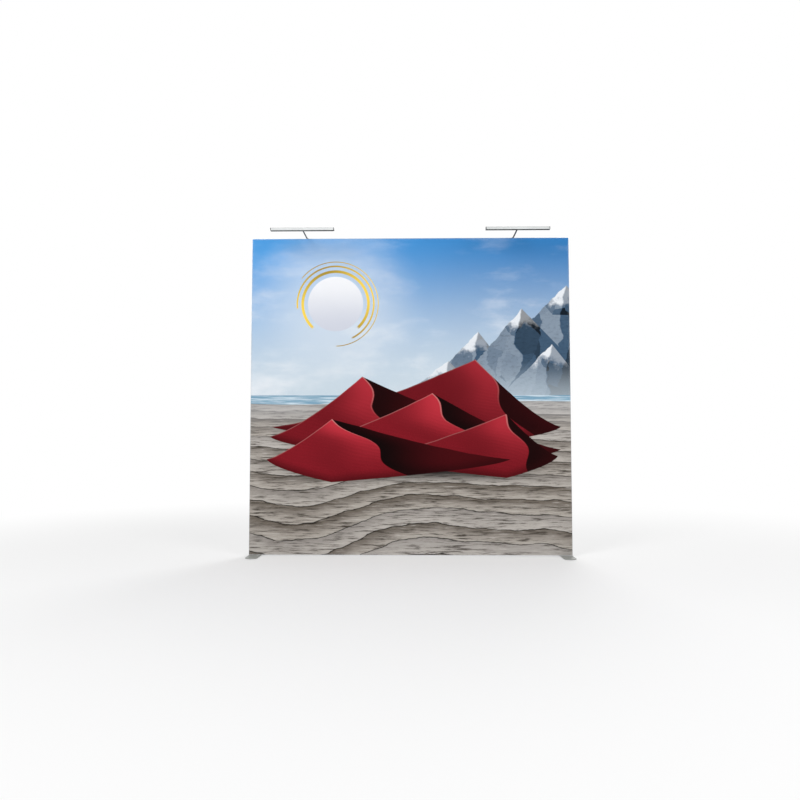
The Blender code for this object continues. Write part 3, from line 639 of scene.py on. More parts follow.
def axes(*sources):
    """The matrix whose X, Y and Z come from these axes, 0 for X to 2 for Z."""
    return Matrix([[float(column == source) for column in range(4)] for source in (*sources, 3)])


TO_REAR, TO_RIGHT, TO_LEFT = turn(-90, "X"), turn(90, "Y"), turn(-90, "Y")
LEVEL = axes(2, 1, 0)      # an upright run lies along X
STANDING = axes(0, 2, 1)   # an outline in XY stands up and its height becomes depth
SIDEWAYS = axes(2, 0, 1)   # an outline of depth and height runs along X


def joined(*meshes):
    """Several meshes as one, each keeping its own closed surface."""
    shape = bmesh.new()
    for mesh in meshes:
        shape.from_mesh(mesh)
        bpy.data.meshes.remove(mesh)
    return to_mesh(shape)


def evaluated(obj):
    """The object's mesh with its modifiers applied. The object goes."""
    mesh = bpy.data.meshes.new_from_object(obj.evaluated_get(bpy.context.evaluated_depsgraph_get()))
    bpy.data.objects.remove(obj)
    return mesh


def linked(name, data):
    obj = bpy.data.objects.new(name, data)
    bpy.context.scene.collection.objects.link(obj)
    return obj


def combined(mesh, other, operation="DIFFERENCE"):
    """A closed mesh cut by another, or kept only inside it."""
    body, tool = linked("body", mesh), linked("tool", other)
    boolean = body.modifiers.new("combine", "BOOLEAN")
    boolean.operation, boolean.object = operation, tool
    result = evaluated(body)
    bpy.data.objects.remove(tool)
    return result


def bevelled(shape, edges, offset, segments):
    bmesh.ops.bevel(shape, geom=edges, offset=offset, segments=segments, profile=0.5, affect="EDGES",
                    clamp_overlap=True)


def prism(points, low, high, bevel=0.0, segments=2, slopes=(0, 0)):
    """An outline in XY made solid from low to high along Z, its two rims bevelled.

    A slope cuts that end on a mitre, which rises with X.
    """
    shape = bmesh.new()
    face = shape.faces.new([shape.verts.new((x, y, low)) for x, y in points])
    made = bmesh.ops.extrude_face_region(shape, geom=[face])["geom"]
    top = [v for v in made if isinstance(v, bmesh.types.BMVert)]
    bmesh.ops.translate(shape, verts=top, vec=(0, 0, high - low))
    for vertex in shape.verts:
        vertex.co.z += slopes[vertex in top] * vertex.co.x
    bmesh.ops.recalc_face_normals(shape, faces=shape.faces)
    if bevel:
        rims = [e for e in shape.edges if abs(e.verts[0].co.z - e.verts[1].co.z) < WELD]
        bevelled(shape, rims, bevel, segments)
    return to_mesh(shape)


def block(low, high, bevel, segments=2):
    shape = bmesh.new()
    bmesh.ops.create_cube(shape, size=1)
    for vertex in shape.verts:
        vertex.co = Vector(l + (c + 0.5) * (h - l) for l, c, h in zip(low, vertex.co, high))
    bevelled(shape, list(shape.edges), bevel, segments)
    return to_mesh(shape)


def lathe(profile, sides=40):
    """A profile of (radius, height) points turned about Z. It runs down the outer side."""
    shape = bmesh.new()
    verts = [shape.verts.new((radius, 0, height)) for radius, height in profile]
    edges = [shape.edges.new(pair) for pair in zip(verts, verts[1:])]
    if profile[0][0] > 0 and profile[-1][0] > 0:
        edges.append(shape.edges.new((verts[-1], verts[0])))
    bmesh.ops.spin(shape, geom=verts + edges, axis=(0, 0, 1), cent=(0, 0, 0), angle=tau, steps=sides)
    return cleaned(to_mesh(shape))


def eased(profile, radius, steps=3):
    """The outline or profile with each corner rounded, as far as its neighbours leave room."""
    points = []
    closed = profile[0][0] > 0 or profile[-1][0] > 0
    count = len(profile)
    for i, corner in enumerate(profile):
        if not closed and i in (0, count - 1):
            points.append(corner)
            continue
        p, a, b = Vector(corner), Vector(profile[i - 1]), Vector(profile[(i + 1) % count])
        reach_a = min(radius, (a - p).length * 0.45)
        reach_b = min(radius, (b - p).length * 0.45)
        start, end = p + (a - p).normalized() * reach_a, p + (b - p).normalized() * reach_b
        for step in range(steps + 1):
            t = step / steps
            points.append(tuple(start * (1 - t) ** 2 + p * (2 * t * (1 - t)) + end * t ** 2))
    return points


def turned(radius, low, high, ease=0.0, sides=36, bore=0.0):
    """A rod, disc or ring about Z, its rims eased."""
    profile = [(bore, high), (radius, high), (radius, low), (bore, low)]
    return lathe(eased(profile, ease) if ease else profile, sides)


def arc(radius, start, end, steps, x=0.0, y=0.0):
    """Points on an arc about a centre, from one angle to another, both in radians."""
    angles = [start + (end - start) * step / steps for step in range(steps + 1)]
    return [(x + radius * cos(angle), y + radius * sin(angle)) for angle in angles]


def circle(radius, sides):
    return arc(radius, 0, tau, sides)[:-1]


def softened(node, bevel, segments=2, angle=radians(32)):
    """A copy of a frame node, its edges sharper than angle rounded and its imported UVs and normals gone."""
    shape = bmesh.new()
    shape.from_mesh(frame["nodes"][node].data)
    bmesh.ops.remove_doubles(shape, verts=shape.verts, dist=WELD)
    bmesh.ops.dissolve_limit(shape, angle_limit=radians(1), verts=shape.verts, edges=shape.edges)
    sharp = [e for e in shape.edges if len(e.link_faces) == 2 and e.calc_face_angle() > angle]
    bevelled(shape, sharp, bevel, segments)
    for layer in list(shape.loops.layers.uv):
        shape.loops.layers.uv.remove(layer)
    mesh = to_mesh(shape)
    for attribute in [a for a in mesh.attributes if a.name == "custom_normal"]:
        mesh.attributes.remove(attribute)
    return mesh


# ---------------------------------------------------------------- pieces

def add_piece(name, mesh, finishes, body=WALL, node=None):
    """Puts a finished mesh in the scene as one piece on its body, in place of the named frame node."""
    mesh.name = name
    mesh.materials.clear()
    for each in finishes.split():
        mesh.materials.append(finish(each))
    mesh.shade_smooth()
    mesh.set_sharp_from_angle(angle=SHARP)
    obj = linked(name, mesh)
    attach(obj, body)
    if node:
        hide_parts(node)
    return obj


def dress(node, kind, mesh, finishes, body=WALL):
    """Puts a mesh in place of a frame node, under the node's name and what kind of part it is."""
    return add_piece(f"{node}_{kind}", mesh, finishes, body, node)


def keep_nodes(finish_name, *nodes):
    """Frame nodes that stay in sight, with a finish of their own."""
    for node in nodes:
        mesh = frame["nodes"][node].data
        mesh.materials.clear()
        mesh.materials.append(finish(finish_name))


def joint_place(name):
    return Vector(next(j["pos_m"] for j in frame["joints"] if j["name"] == name))


def geometry_tree(name, inputs, build):
    """A Geometry Nodes tree that makes build's instances real and gives them the material."""
    def whole(g, given):
        solid = g.call("GeometryNodeRealizeInstances", {"Geometry": build(g, given)})
        return (g.call("GeometryNodeSetMaterial", {"Geometry": solid, "Material": given["Material"]}),)
    inputs = {"Geometry": "Geometry", **inputs, "Material": "Material"}
    return node_tree("GeometryNodeTree", name, inputs, {"Geometry": "Geometry"}, whole)


def run_tree(tree, mesh, inputs):
    """The tree's result on a mesh, as a plain mesh."""
    obj = linked("guide", mesh)
    modifier = obj.modifiers.new("nodes", "NODES")
    modifier.node_group = tree
    for item in tree.interface.items_tree:
        if item.in_out == "INPUT" and item.name in inputs:
            modifier[item.identifier] = inputs[item.name]
    return evaluated(obj)


def stitch_tree():
    """Stitches laid end to end along the guide's edges."""
    def build(g, given):
        path = g.call("GeometryNodeMeshToCurve", {"Mesh": given["Geometry"]})
        spaced = g.call("GeometryNodeResampleCurve", {"Curve": path, "Length": given["Pitch"]}, mode="LENGTH")
        ball = g.call("GeometryNodeMeshUVSphere", {"Segments": 6, "Rings": 4, "Radius": 0.5})
        tangent = {"Vector": g.call("GeometryNodeInputTangent")}
        heading = g.call("FunctionNodeAlignRotationToVector", tangent, axis="X")
        size = g.vector(given["Length"], given["Width"], given["Width"])
        inputs = {"Points": spaced, "Instance": ball, "Rotation": heading, "Scale": size}
        return g.call("GeometryNodeInstanceOnPoints", inputs)
    return geometry_tree("stitch_row", {"Pitch": "Float", "Length": "Float", "Width": "Float"}, build)


def repeat_tree():
    """Copies of one shape at the guide's points."""
    def build(g, given):
        shape = g.call("GeometryNodeObjectInfo", {"Object": given["Shape"]}, "Geometry")
        return g.call("GeometryNodeInstanceOnPoints", {"Points": given["Geometry"], "Instance": shape})
    return geometry_tree("repeated_shape", {"Shape": "Object"}, build)


def repeated(shape, places, finish_name):
    """One shape at several places, made by the repeat tree."""
    source = bpy.data.objects.new("source", shape)
    guide = listed("places", [tuple(place) for place in places])
    result = run_tree(repeat_tree(), guide, {"Shape": source, "Material": finish(finish_name)})
    bpy.data.objects.remove(source)
    return result


def cap_screw(radius, height):
    """A socket screw's head on Z = 0, with its rounded rim and six-sided socket."""
    rim, socket, floor = radius * 0.16, radius * 0.5, height * 0.4
    return combined(turned(radius, 0, height, rim, 24), prism(circle(socket, 6), floor, floor + height * 1.2))


def hex_nut(width, height, bore):
    """A nut on Z = 0, its corners turned down at both faces."""
    corner, face, chamfer = width / sqrt(3), width * 0.50, height * 0.20
    outside = corner * 1.02
    rounding = lathe([(0, height), (face, height), (outside, height - chamfer), (outside, chamfer), (face, 0),
                      (0, 0)], 36)
    nut = combined(prism(circle(corner, 6), 0, height), rounding, "INTERSECT")
    return combined(nut, prism(circle(bore, 28), -height, height * 2))


# ---------------------------------------------------------------- fabric

BOW_FADE, PULL_FADE, PULL_START = mm(200, 50, 12)
PULL_DEPTH, HEM_DEPTH, STITCH_DEPTH = mm(0.10, 0.14, 0.24)
PULL_WAVES = 145           # radians per metre along each side
SEAM = 0.62                # where the stitches run across the hem


def fabric_mesh(settings, low, high):
    """Front and back of the stretched print. It bows between its edges and is drawn in at its hem."""
    count = settings.squares
    width, height = high.x - low.x, high.z - low.z
    share = np.linspace(0, 1, count + 1)
    share = 0.5 - 0.5 * np.cos(share * pi) * (1 - 0.35 * np.sin(share * pi) ** 2)
    x, z = np.meshgrid(low.x + width * share, low.z + height * share)
    edge = np.minimum.reduce([x - low.x, high.x - x, z - low.z, high.z - z])
    bow = settings.swell * np.sin((x - low.x) / width * pi) * np.sin((z - low.z) / height * pi)
    drift = 0.35 * settings.swell * np.sin(5.1 * x + 1.3 * z) * np.cos(3.7 * z - 0.8 * x)
    inside = np.clip((edge - RAIL_WIDTH) / BOW_FADE, 0, 1)
    pull = PULL_DEPTH * np.abs(np.sin((x + z) * PULL_WAVES)) * np.exp(-edge / PULL_FADE)
    pull *= np.clip(edge / PULL_START, 0, 1)
    hem = HEM_DEPTH * (edge < settings.hem)
    offset = (bow + drift) * inside ** 2 * (3 - 2 * inside) - pull - hem
    front = np.stack([x, low.y + offset, z], -1).reshape(-1, 3)
    back = np.stack([x, high.y + np.maximum(offset, -mm(0.05)), z], -1).reshape(-1, 3)
    row = count + 1
    corner = (np.arange(count)[:, None] * row + np.arange(count)[None, :]).ravel()
    quads = np.stack([corner, corner + 1, corner + row + 1, corner + row], 1)
    total = row ** 2
    faces = quads.tolist() + (quads[:, ::-1] + total).tolist()
    side = np.arange(count)
    backwards = side[::-1] + 1
    for start, step in ((side, 1), (side * row + count, row), (count * row + backwards, -1),
                        (backwards * row, -row)):
        faces += np.stack([start + step, start, start + total, start + step + total], 1).tolist()
    return cleaned(listed("print", np.concatenate([front, back]).tolist(), faces=faces))


class WALL_OT_fabric(bpy.types.Operator):
    """Make the stretched print with its hem and stitches"""
    bl_idname = "display_wall.fabric"
    bl_label = "Fabric"

    def execute(self, context):
        settings = context.scene.display_wall.fabric
        low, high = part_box("fabric_panel")
        mesh = fabric_mesh(settings, low, high)
        piece = add_piece("printed_panel", mesh, "print reverse", node="fabric_panel")
        for face in piece.data.polygons:
            face.material_index = int(face.normal.y > 0.5)

        inset, front = settings.hem * SEAM, low.y - STITCH_DEPTH
        left, right, bottom, top = low.x + inset, high.x - inset, low.z + inset, high.z - inset
        corners = [(left, front, bottom), (right, front, bottom), (right, front, top), (left, front, top)]
        guide = listed("hem_line", corners, [(0, 1), (1, 2), (2, 3), (3, 0)])
        inputs = {"Pitch": settings.stitch_pitch, "Length": settings.stitch_length,
                  "Width": settings.stitch_width, "Material": finish("thread")}
        stitches = add_piece("hem_stitches", run_tree(stitch_tree(), guide, inputs), "thread")
        beads = ["bead_top", "bead_bottom", "bead_left", "bead_right"]
        keep_nodes("silicone", *beads)
        return {"FINISHED"}


# ---------------------------------------------------------------- frame

def rail_outline(fillet):
    """The rail's section, X from the wall's outer edge inwards and Y as depth, with lines in its flanks."""
    groove = RAIL_WALL + GROOVE_WIDTH
    floor, lip = RAIL_FACE + GROOVE_DEPTH, RAIL_REAR - RAIL_WALL
    inner, front = RAIL_WIDTH - RAIL_WALL, RAIL_FACE + RAIL_WALL
    slot_a, slot_b = (RAIL_WIDTH - SLOT_WIDTH) / 2, (RAIL_WIDTH + SLOT_WIDTH) / 2
    line, cut = mm(1.0, 0.35)

    def lines(x, inwards, along, *depths):
        return [(x + inwards * cut_in, depth + along * share) for depth in depths
                for cut_in, share in ((0, 0), (cut, 0.3), (cut, 0.7), (0, 1))]

    return eased([
        (0, 0), (RAIL_WALL, 0), (RAIL_WALL, floor), (groove, floor), (groove, RAIL_FACE),
        (RAIL_WIDTH, RAIL_FACE),
        *lines(RAIL_WIDTH, -1, line, *mm(10, 21)),
        (RAIL_WIDTH, RAIL_REAR), (slot_b, RAIL_REAR), (slot_b, lip), (inner, lip), (inner, front),
        (groove + RAIL_WALL, front), (groove + RAIL_WALL, floor + RAIL_WALL), (RAIL_WALL, floor + RAIL_WALL),
        (RAIL_WALL, lip), (slot_a, lip), (slot_a, RAIL_REAR), (0, RAIL_REAR),
        *lines(0, 1, -line, *mm(22, 11)),
    ], fillet, 2)


def post_outline(fillet):
    half, slot, inner = POST_WIDTH / 2, SLOT_WIDTH / 2, POST_WIDTH / 2 - RAIL_WALL
    front, lip = RAIL_REAR - POST_DEPTH, RAIL_REAR - RAIL_WALL
    return eased([
        (-half, front), (half, front), (half, RAIL_REAR), (slot, RAIL_REAR), (slot, lip), (inner, lip),
        (inner, front + RAIL_WALL), (-inner, front + RAIL_WALL), (-inner, lip), (-slot, lip),
        (-slot, RAIL_REAR), (-half, RAIL_REAR),
    ], fillet, 2)


def rail_mesh(node, side, outline):
    """One rail from its frame node's box: square at the middle joint and mitred at the corner."""
    low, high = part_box(node)
    upright = side in ("left", "right")
    start, end = (low.z, high.z) if upright else (low.x, high.x)
    slopes = (0, -1) if node.endswith("upper") or node.endswith("_right") and not upright else (1, 0)
    place = {
        "left": at(low.x, 0, 0),
        "right": at(high.x, 0, 0) @ mirror(x=-1),
        "top": at(0, 0, high.z) @ mirror(z=-1) @ LEVEL,
        "bottom": at(0, 0, low.z) @ LEVEL,
    }[side]
    return moved(prism(outline, start, end, slopes=slopes), place)


class WALL_OT_rails(bpy.types.Operator):
    """Make the eight rails, and finish the connectors inside them"""
    bl_idname = "display_wall.rails"
    bl_label = "Rails"

    def execute(self, context):
        outline = rail_outline(context.scene.display_wall.frame.fillet)
        for sides, ends, look in ((("top", "bottom"), SIDES, "rail_level"),
                                  (SIDES, ("lower", "upper"), "rail_upright")):
            for side in sides:
                for end in ends:
                    node = f"{side}_rail_{end}"
                    dress(node, "extrusion", rail_mesh(node, side, outline), look)
                keep_nodes("zinc", f"{side}_splice")
        keep_nodes("cast", *(f"corner_connector_{level}_{side}" for level in LEVELS for side in SIDES))
        return {"FINISHED"}


class WALL_OT_braces(bpy.types.Operator):
    """Make the centre post, the braces and the plates that hold them"""
    bl_idname = "display_wall.braces"
    bl_label = "Post and braces"

    def execute(self, context):
        settings = context.scene.display_wall.frame
        outline = post_outline(settings.fillet)
        for node in ("centre_post_lower", "centre_post_upper"):
            low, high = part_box(node)
            dress(node, "extrusion", prism(outline, low.z, high.z), "rail_upright")
        for node in ("brace_left", "brace_right"):
            low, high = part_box(node)
            lying = at(0, 0, (low.z + high.z) / 2) @ mirror(z=-1) @ LEVEL
            dress(node, "extrusion", moved(prism(outline, low.x, high.x), lying), "rail_level")

        cross_low, cross_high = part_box("cross_plate")
        middle, seat = (cross_low + cross_high) / 2, cross_high.y
        reach, inset = mm(40, 12)
        studs = [(middle.x, middle.z + reach), (middle.x, middle.z - reach),
                 (middle.x - reach, middle.z), (middle.x + reach, middle.z)]
        for node in ("cross_plate", "post_plate_top", "post_plate_bottom", "brace_plate_left",
                     "brace_plate_right"):
            dress(node, "pressing", softened(node, settings.bevel), "zinc")
            low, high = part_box(node)
            if node.startswith("post"):
                studs += [(middle.x, low.z + inset), (middle.x, high.z - inset)]
            elif node.startswith("brace"):
                studs += [(low.x + inset, middle.z), (high.x - inset, middle.z)]
        shapes = cap_screw(*mm(5, 3.4)), turned(*mm(7, 0, 0.8, 0.2), sides=28)
        places = [(x, seat, z) for x, z in studs]
        fixings = [repeated(moved(shape, TO_REAR), places, "bright") for shape in shapes]
        add_piece("stud_screws", joined(*fixings), "bright")
        return {"FINISHED"}


def teardrop(big, small, reach, steps=24):
    """Two circles, the small one to -X, with the straight lines that touch both."""
    side = acos((big - small) / reach)
    return arc(big, side - pi, pi - side, steps) + arc(small, pi - side, pi + side, steps, -reach)


def lever_grip():
    """The moulded handle about the lever's axis, to -X, with a boss and ribs under the thumb."""
    length, face = mm(40), SEAT + mm(4)
    handle = prism(teardrop(*mm(9, 5), length), SEAT, SEAT + mm(4.6), mm(1.0), 3)
    rim = prism(teardrop(*mm(7.4, 3.4), length), face, SEAT + mm(5.3), mm(0.5))
    boss = prism(circle(mm(6), 36), face, SEAT + mm(6), mm(0.5))
    rib = [mm(-0.8, -3.2), mm(0.8, -3.2), mm(0.8, 3.2), mm(-0.8, 3.2)]
    ribs = [moved(prism(rib, SEAT + mm(5), SEAT + mm(6), mm(0.3)), at(mm(x), 0, 0))
            for x in np.arange(-38, -18, 3.4)]
    return moved(joined(handle, rim, boss, *ribs), STANDING)


def lever_bolt():
    """The lever's steel shaft, T-head and the screw that holds the handle."""
    shaft = prism(circle(mm(3), 32), mm(8), SEAT + mm(2), mm(0.4))
    head = block(mm(-3.5, -11, 24.5), mm(3.5, 11, 29), mm(0.8))
    screw = moved(cap_screw(*mm(2.6, 1.0)), at(0, 0, SEAT + mm(5)))
    return moved(joined(shaft, head, screw), STANDING)


class WALL_OT_levers(bpy.types.Operator):
    """Make the four corner levers"""
    bl_idname = "display_wall.levers"
    bl_label = "Corner levers"

    def execute(self, context):
        for level, up in LEVELS.items():
            for side, across in SIDES.items():
                body = f"lever_{level}_{side}"
                node = f"corner_{body}"
                axis = joint_place(f"{body}_turn")
                place = at(axis.x, 0, axis.z) @ mirror(x=across, z=up)
                dress(node, "grip", moved(lever_grip(), place), "plastic", body)
                add_piece(f"{node}_bolt", moved(lever_bolt(), place), "bright", body)
        return {"FINISHED"}


# ---------------------------------------------------------------- feet

def rounded_plate(low, high, radius, steps=14):
    centres = ((high.x - radius, low.y + radius), (high.x - radius, high.y - radius),
               (low.x + radius, high.y - radius), (low.x + radius, low.y + radius))
    starts = (-pi / 2, 0, pi / 2, pi)
    return [point for (x, y), start in zip(centres, starts)
            for point in arc(radius, start, start + pi / 2, steps, x, y)]


def foot_post_mesh(side, plate_top):
    """The upright that turns with the plate: collar under the bracket, flange, nut and tip above it."""
    low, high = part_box(f"foot_post_{side}")
    bracket_low, bracket_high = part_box(f"foot_bracket_{side}")
    shaft, flange = mm(5, 8)
    collar_high, collar_low, neck = bracket_low.z - GAP, plate_top + GAP, bracket_high.z + GAP
    seat = neck + mm(1.2)
    profile = eased([
        (0, seat), (flange, seat), (flange, neck), (shaft, neck), (shaft, collar_high), (flange, collar_high),
        (flange, collar_low), (shaft, collar_low), (shaft, low.z), (0, low.z),
    ], mm(0.4))
    nut = moved(hex_nut(mm(12.5), high.z - seat, mm(3.4)), at(0, 0, seat))
    return joined(lathe(profile), nut, turned(mm(3.3), neck, high.z - mm(0.6), mm(0.5), 28))


def foot_pad_mesh(low, high):
    """A rubber pad with ribs across its underside."""
    rib = block(mm(-28, -0.7, 0), mm(28, 0.7, 0.7), mm(0.2), 1)
    rows = np.linspace(low.y + mm(2), high.y - mm(2), 11)
    ribs = repeated(rib, [((low.x + high.x) / 2, y, low.z) for y in rows], "rubber")
    return joined(block((low.x, low.y, low.z + mm(0.5)), high, mm(0.3)), ribs)


class WALL_OT_feet(bpy.types.Operator):
    """Make the foot plates with their posts, brackets and pads"""
    bl_idname = "display_wall.feet"
    bl_label = "Feet"

    def execute(self, context):
        for side in SIDES:
            body, bracket = f"foot_{side}", f"foot_bracket_{side}"
            axis = joint_place(f"{body}_swing")
            low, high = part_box(f"foot_plate_{side}")
            plate = prism(rounded_plate(low, high, mm(40)), low.z, high.z, mm(1.1), 3)
            bore = prism(circle(mm(5.3), 40), low.z - mm(2), high.z + mm(2))
            plate = combined(plate, moved(bore, at(axis.x, axis.y, 0)))
            dress(f"foot_plate_{side}", "steel", plate, "foot", body)
            turned_post = moved(foot_post_mesh(side, high.z), at(axis.x, axis.y, 0))
            dress(f"foot_post_{side}", "turned", turned_post, "bright", body)

            low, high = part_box(bracket)
            dress(bracket, "moulding", softened(bracket, mm(1.0), 3), "plastic")
            rib = block(mm(-0.9, -0.5, -20), mm(0.9, 0.45, 20), mm(0.35))
            places = [(axis.x + x, high.y, (low.z + high.z) / 2) for x in mm(-7, -3.5, 0, 3.5, 7)]
            add_piece(f"{bracket}_ribs", repeated(rib, places, "plastic"), "plastic")

            for pad in (f"foot_pad_front_{side}", f"foot_pad_rear_{side}"):
                dress(pad, "tread", foot_pad_mesh(*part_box(pad)), "rubber", body)
        return {"FINISHED"}


# ---------------------------------------------------------------- lights

def lobed(radius, depth, lobes, sides=96):
    """A grip's outline, hollowed by depth between its lobes."""
    points = []
    for i in range(sides):
        angle = tau * i / sides
        reach = radius - depth * (0.5 - 0.5 * cos(lobes * angle))
        points.append((reach * cos(angle), reach * sin(angle)))
    return points


def threaded_rod(radius, tip, root, pitch=mm(1.25)):
    """A rod along Z with the ridges of its thread."""
    points = [(0, root), (radius, root)]
    height = root - mm(1)
    while height - pitch > tip + mm(0.5):
        points += [(radius, height), (radius * 0.80, height - pitch / 2)]
        height -= pitch
    return lathe(points + [(radius, height), (radius * 0.7, tip), (0, tip)], 24)


def knob_meshes(low, high):
    """The hand screw about its axis, as its lobed grip and its threaded rod."""
    front = SEAT + mm(4.3)
    grip = (prism(lobed(*mm(12, 1.5), 8), front + mm(2.2), high.y - mm(0.8), mm(0.9), 3),
            prism(circle(mm(8.6), 48), front, front + mm(3), mm(0.4)),
            prism(circle(mm(7), 48), high.y - mm(2), high.y, mm(0.5), 3))
    return joined(*grip), threaded_rod(mm(2.2), low.y, front + mm(1))


def along_x(points, low, high, bevel=0.0):
    """A section of depth and height carried along X."""
    return moved(prism(points, low, high, bevel), SIDEWAYS)


def clamp_mesh(side, arm_axis):
    """The clamp: back plate with its screw hole, shelf, gussets and the arm's post."""
    low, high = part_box(f"light_clamp_{side}")
    half, rear, inner = (high.x - low.x) / 2, high.y, SEAT + mm(4)
    rail_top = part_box("top_rail_left")[1].z
    shelf = rail_top + mm(3.5)
    section = eased([(SEAT, low.z), (inner, low.z), (inner, rail_top), (rear, rail_top), (rear, shelf),
                     (SEAT, shelf)], mm(1.2), 4)
    hole = prism(circle(mm(2.5), 32), SEAT - mm(2), SEAT + mm(8))
    hole = cleaned(moved(hole, STANDING, at(0, 0, rail_top - RAIL_WIDTH / 2)))
    body = combined(along_x(section, -half, half, mm(0.6)), hole)
    root, top, side_inset = inner - mm(0.5), rail_top + mm(0.5), mm(1.6)
    gusset = eased([(root, top), (rear - mm(3), top), (root, rail_top - mm(2.4))], mm(0.3), 2)
    gussets = [cleaned(along_x(gusset, x - mm(1), x + mm(1))) for x in (side_inset - half, half - side_inset)]
    thick, thin, neck, root = *mm(6, 3.7), shelf + mm(10.6), shelf - mm(1)
    post = lathe(eased([(0, high.z), (thick, high.z), (thick, neck), (thin, neck), (thin, root), (0, root)],
                       mm(0.4)), 36)
    return moved(joined(body, *gussets, moved(post, at(0, arm_axis.y, 0))), at(arm_axis.x, 0, 0))


def arm_mesh(arm_axis, eye):
    """Barrel, rod with its collars, and the eye at the lamp's end."""
    reach = eye.y - arm_axis.y
    barrel = turned(*mm(8, -5, 5, 0.7), 40, mm(4))
    ring = moved(turned(*mm(6, -6, 6, 0.6), bore=mm(2.6)), TO_RIGHT, at(0, reach, 0))
    start, end = mm(-5.8), reach + mm(4.2)
    collars = [moved(turned(*mm(5.1, -3, 3, 0.3)), at(0, 0, z)) for z in (start - mm(6), end + mm(7))]
    rod = moved(joined(turned(ARM_RADIUS, end, start), *collars), TO_REAR)
    return moved(joined(barrel, ring, rod), at(*arm_axis))


def housing_outline(front, rear, half):
    """The lamp's section about its tilt axis: depth and height, open below, with cooling grooves on top."""
    wall, chamfer, pitch, width, depth = mm(1.6, 4, 3.2, 1.5, 0.8)
    outer = [(front, -half), (front, half - chamfer), (front + chamfer, half)]
    count = int((rear - front - 2 * chamfer - width) / pitch)
    for i in range(count):
        y = (front + rear) / 2 + (i - (count - 1) / 2) * pitch
        a, b = y - width / 2, y + width / 2
        outer += [(a, half), (a, half - depth), (b, half - depth), (b, half)]
    outer += [(rear - chamfer, half), (rear, half - chamfer), (rear, -half)]
    inner = [(rear - wall, -half), (rear - wall, half - chamfer), (rear - chamfer, half - wall),
             (front + chamfer, half - wall), (front + wall, half - chamfer), (front + wall, -half)]
    return eased(outer, mm(0.35), 2) + eased(inner, mm(0.25), 2)


def diffuser_outline(front, rear, low, high, prisms=24):
    """Flat above, with shallow prisms along the underside."""
    valley, crest, step = low + mm(0.5), low + mm(0.05), (rear - front) / prisms
    points = [(rear, high), (front, high), (front, valley)]
    for i in range(prisms):
        points += [(front + step * (i + 0.5), crest), (front + step * (i + 1), valley)]
    return points[::-1]


def make_housing(sign, front, rear, half, length):
    """The lamp's shell with its ears, then the pin between them, then the power inlet."""
    seat, ear, radius, root = *mm(6.6, 3, 6), rear - mm(0.8)
    nose = [(radius * sin(a), -radius * cos(a)) for a in np.linspace(0.2, pi - 0.2, 14)]
    section = [(root, -radius), (0, -radius), *nose, (0, radius), (root, radius)]
    ears = [cleaned(along_x(section, x, x + ear, mm(0.4))) for x in (-seat - ear, seat)]
    shell = cleaned(along_x(housing_outline(front, rear, half), -length, length))
    pin = moved(turned(mm(2.3), -seat - ear, seat + ear, sides=28), TO_RIGHT)
    sink = seat + mm(2.6)
    heads = [moved(cap_screw(*mm(3.6, 1.8)), facing, at(x, 0, 0))
             for facing, x in ((TO_RIGHT, sink), (TO_LEFT, -sink))]
    inlet = joined(turned(*mm(5, 0, 11, 0.4), 32, mm(2.6)), turned(*mm(0.8, 0, 9), sides=16))
    inlet = moved(inlet, TO_REAR, at(sign * (length + mm(4.3) - mm(30)), rear - mm(0.5), 0))
    return joined(shell, *ears), joined(pin, *heads), inlet


def make_lamp(side, sign, eye, emitters):
    """One lamp about its tilt axis, then moved to it."""
    cap_low, cap_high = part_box(f"lamp_end_cap_outer_{side}")
    lens_low, lens_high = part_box(f"lamp_diffuser_{side}")
    front, rear, half = cap_low.y - eye.y, cap_high.y - eye.y, (cap_high.z - cap_low.z) / 2
    length, chamfer = (lens_high.x - lens_low.x) / 2, mm(4)

    def add(name, mesh, look, node=None):
        add_piece(name, moved(mesh, at(*eye)), look, f"lamp_{side}", node)

    shell, pivot, inlet = make_housing(sign, front, rear, half, length)
    add(f"lamp_housing_{side}_extrusion", shell, "lamp", f"lamp_housing_{side}")
    add(f"lamp_pivot_{side}", pivot, "bright")
    add(f"lamp_inlet_{side}", inlet, "plastic")

    lens = diffuser_outline(lens_low.y - eye.y, lens_high.y - eye.y, -half, -half + mm(2))
    lens = cleaned(along_x(lens, -length, length))
    add(f"lamp_diffuser_{side}_prisms", lens, "diffuser", f"lamp_diffuser_{side}")
    reach, rim, under = length - mm(6), mm(5), mm(5)
    board = block((-reach, front + rim, under), (reach, rear - rim, under + mm(1.4)), mm(0.2), 1)
    add(f"lamp_board_{side}", board, "board")
    chip = block(mm(-1.7, -1.4, -0.9), mm(1.7, 1.4, 0.1), mm(0.25), 1)
    span = length - mm(16)
    places = [(x, (front + rear) / 2, under) for x in np.linspace(-span, span, emitters)]
    add(f"lamp_emitters_{side}", repeated(chip, places, "emitter"), "emitter")

    section = eased([(front, -half), (front, half - chamfer), (front + chamfer, half), (rear - chamfer, half),
                     (rear, half - chamfer), (rear, -half)], mm(0.8), 3)
    for end, direction in (("inner", -sign), ("outer", sign)):
        node = f"lamp_end_cap_{end}_{side}"
        low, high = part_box(node)
        cap = cleaned(along_x(section, low.x - eye.x, high.x - eye.x, mm(0.6)))
        face, facing = (high.x, TO_RIGHT) if direction > 0 else (low.x, TO_LEFT)
        places = [(face - eye.x - direction * mm(0.75), y, mm(4)) for y in (front + mm(6), rear - mm(6))]
        add(f"{node}_moulding", cap, "plastic", node)
        add(f"{node}_screws", repeated(moved(cap_screw(*mm(2.0, 0.7)), facing), places, "bright"), "bright")


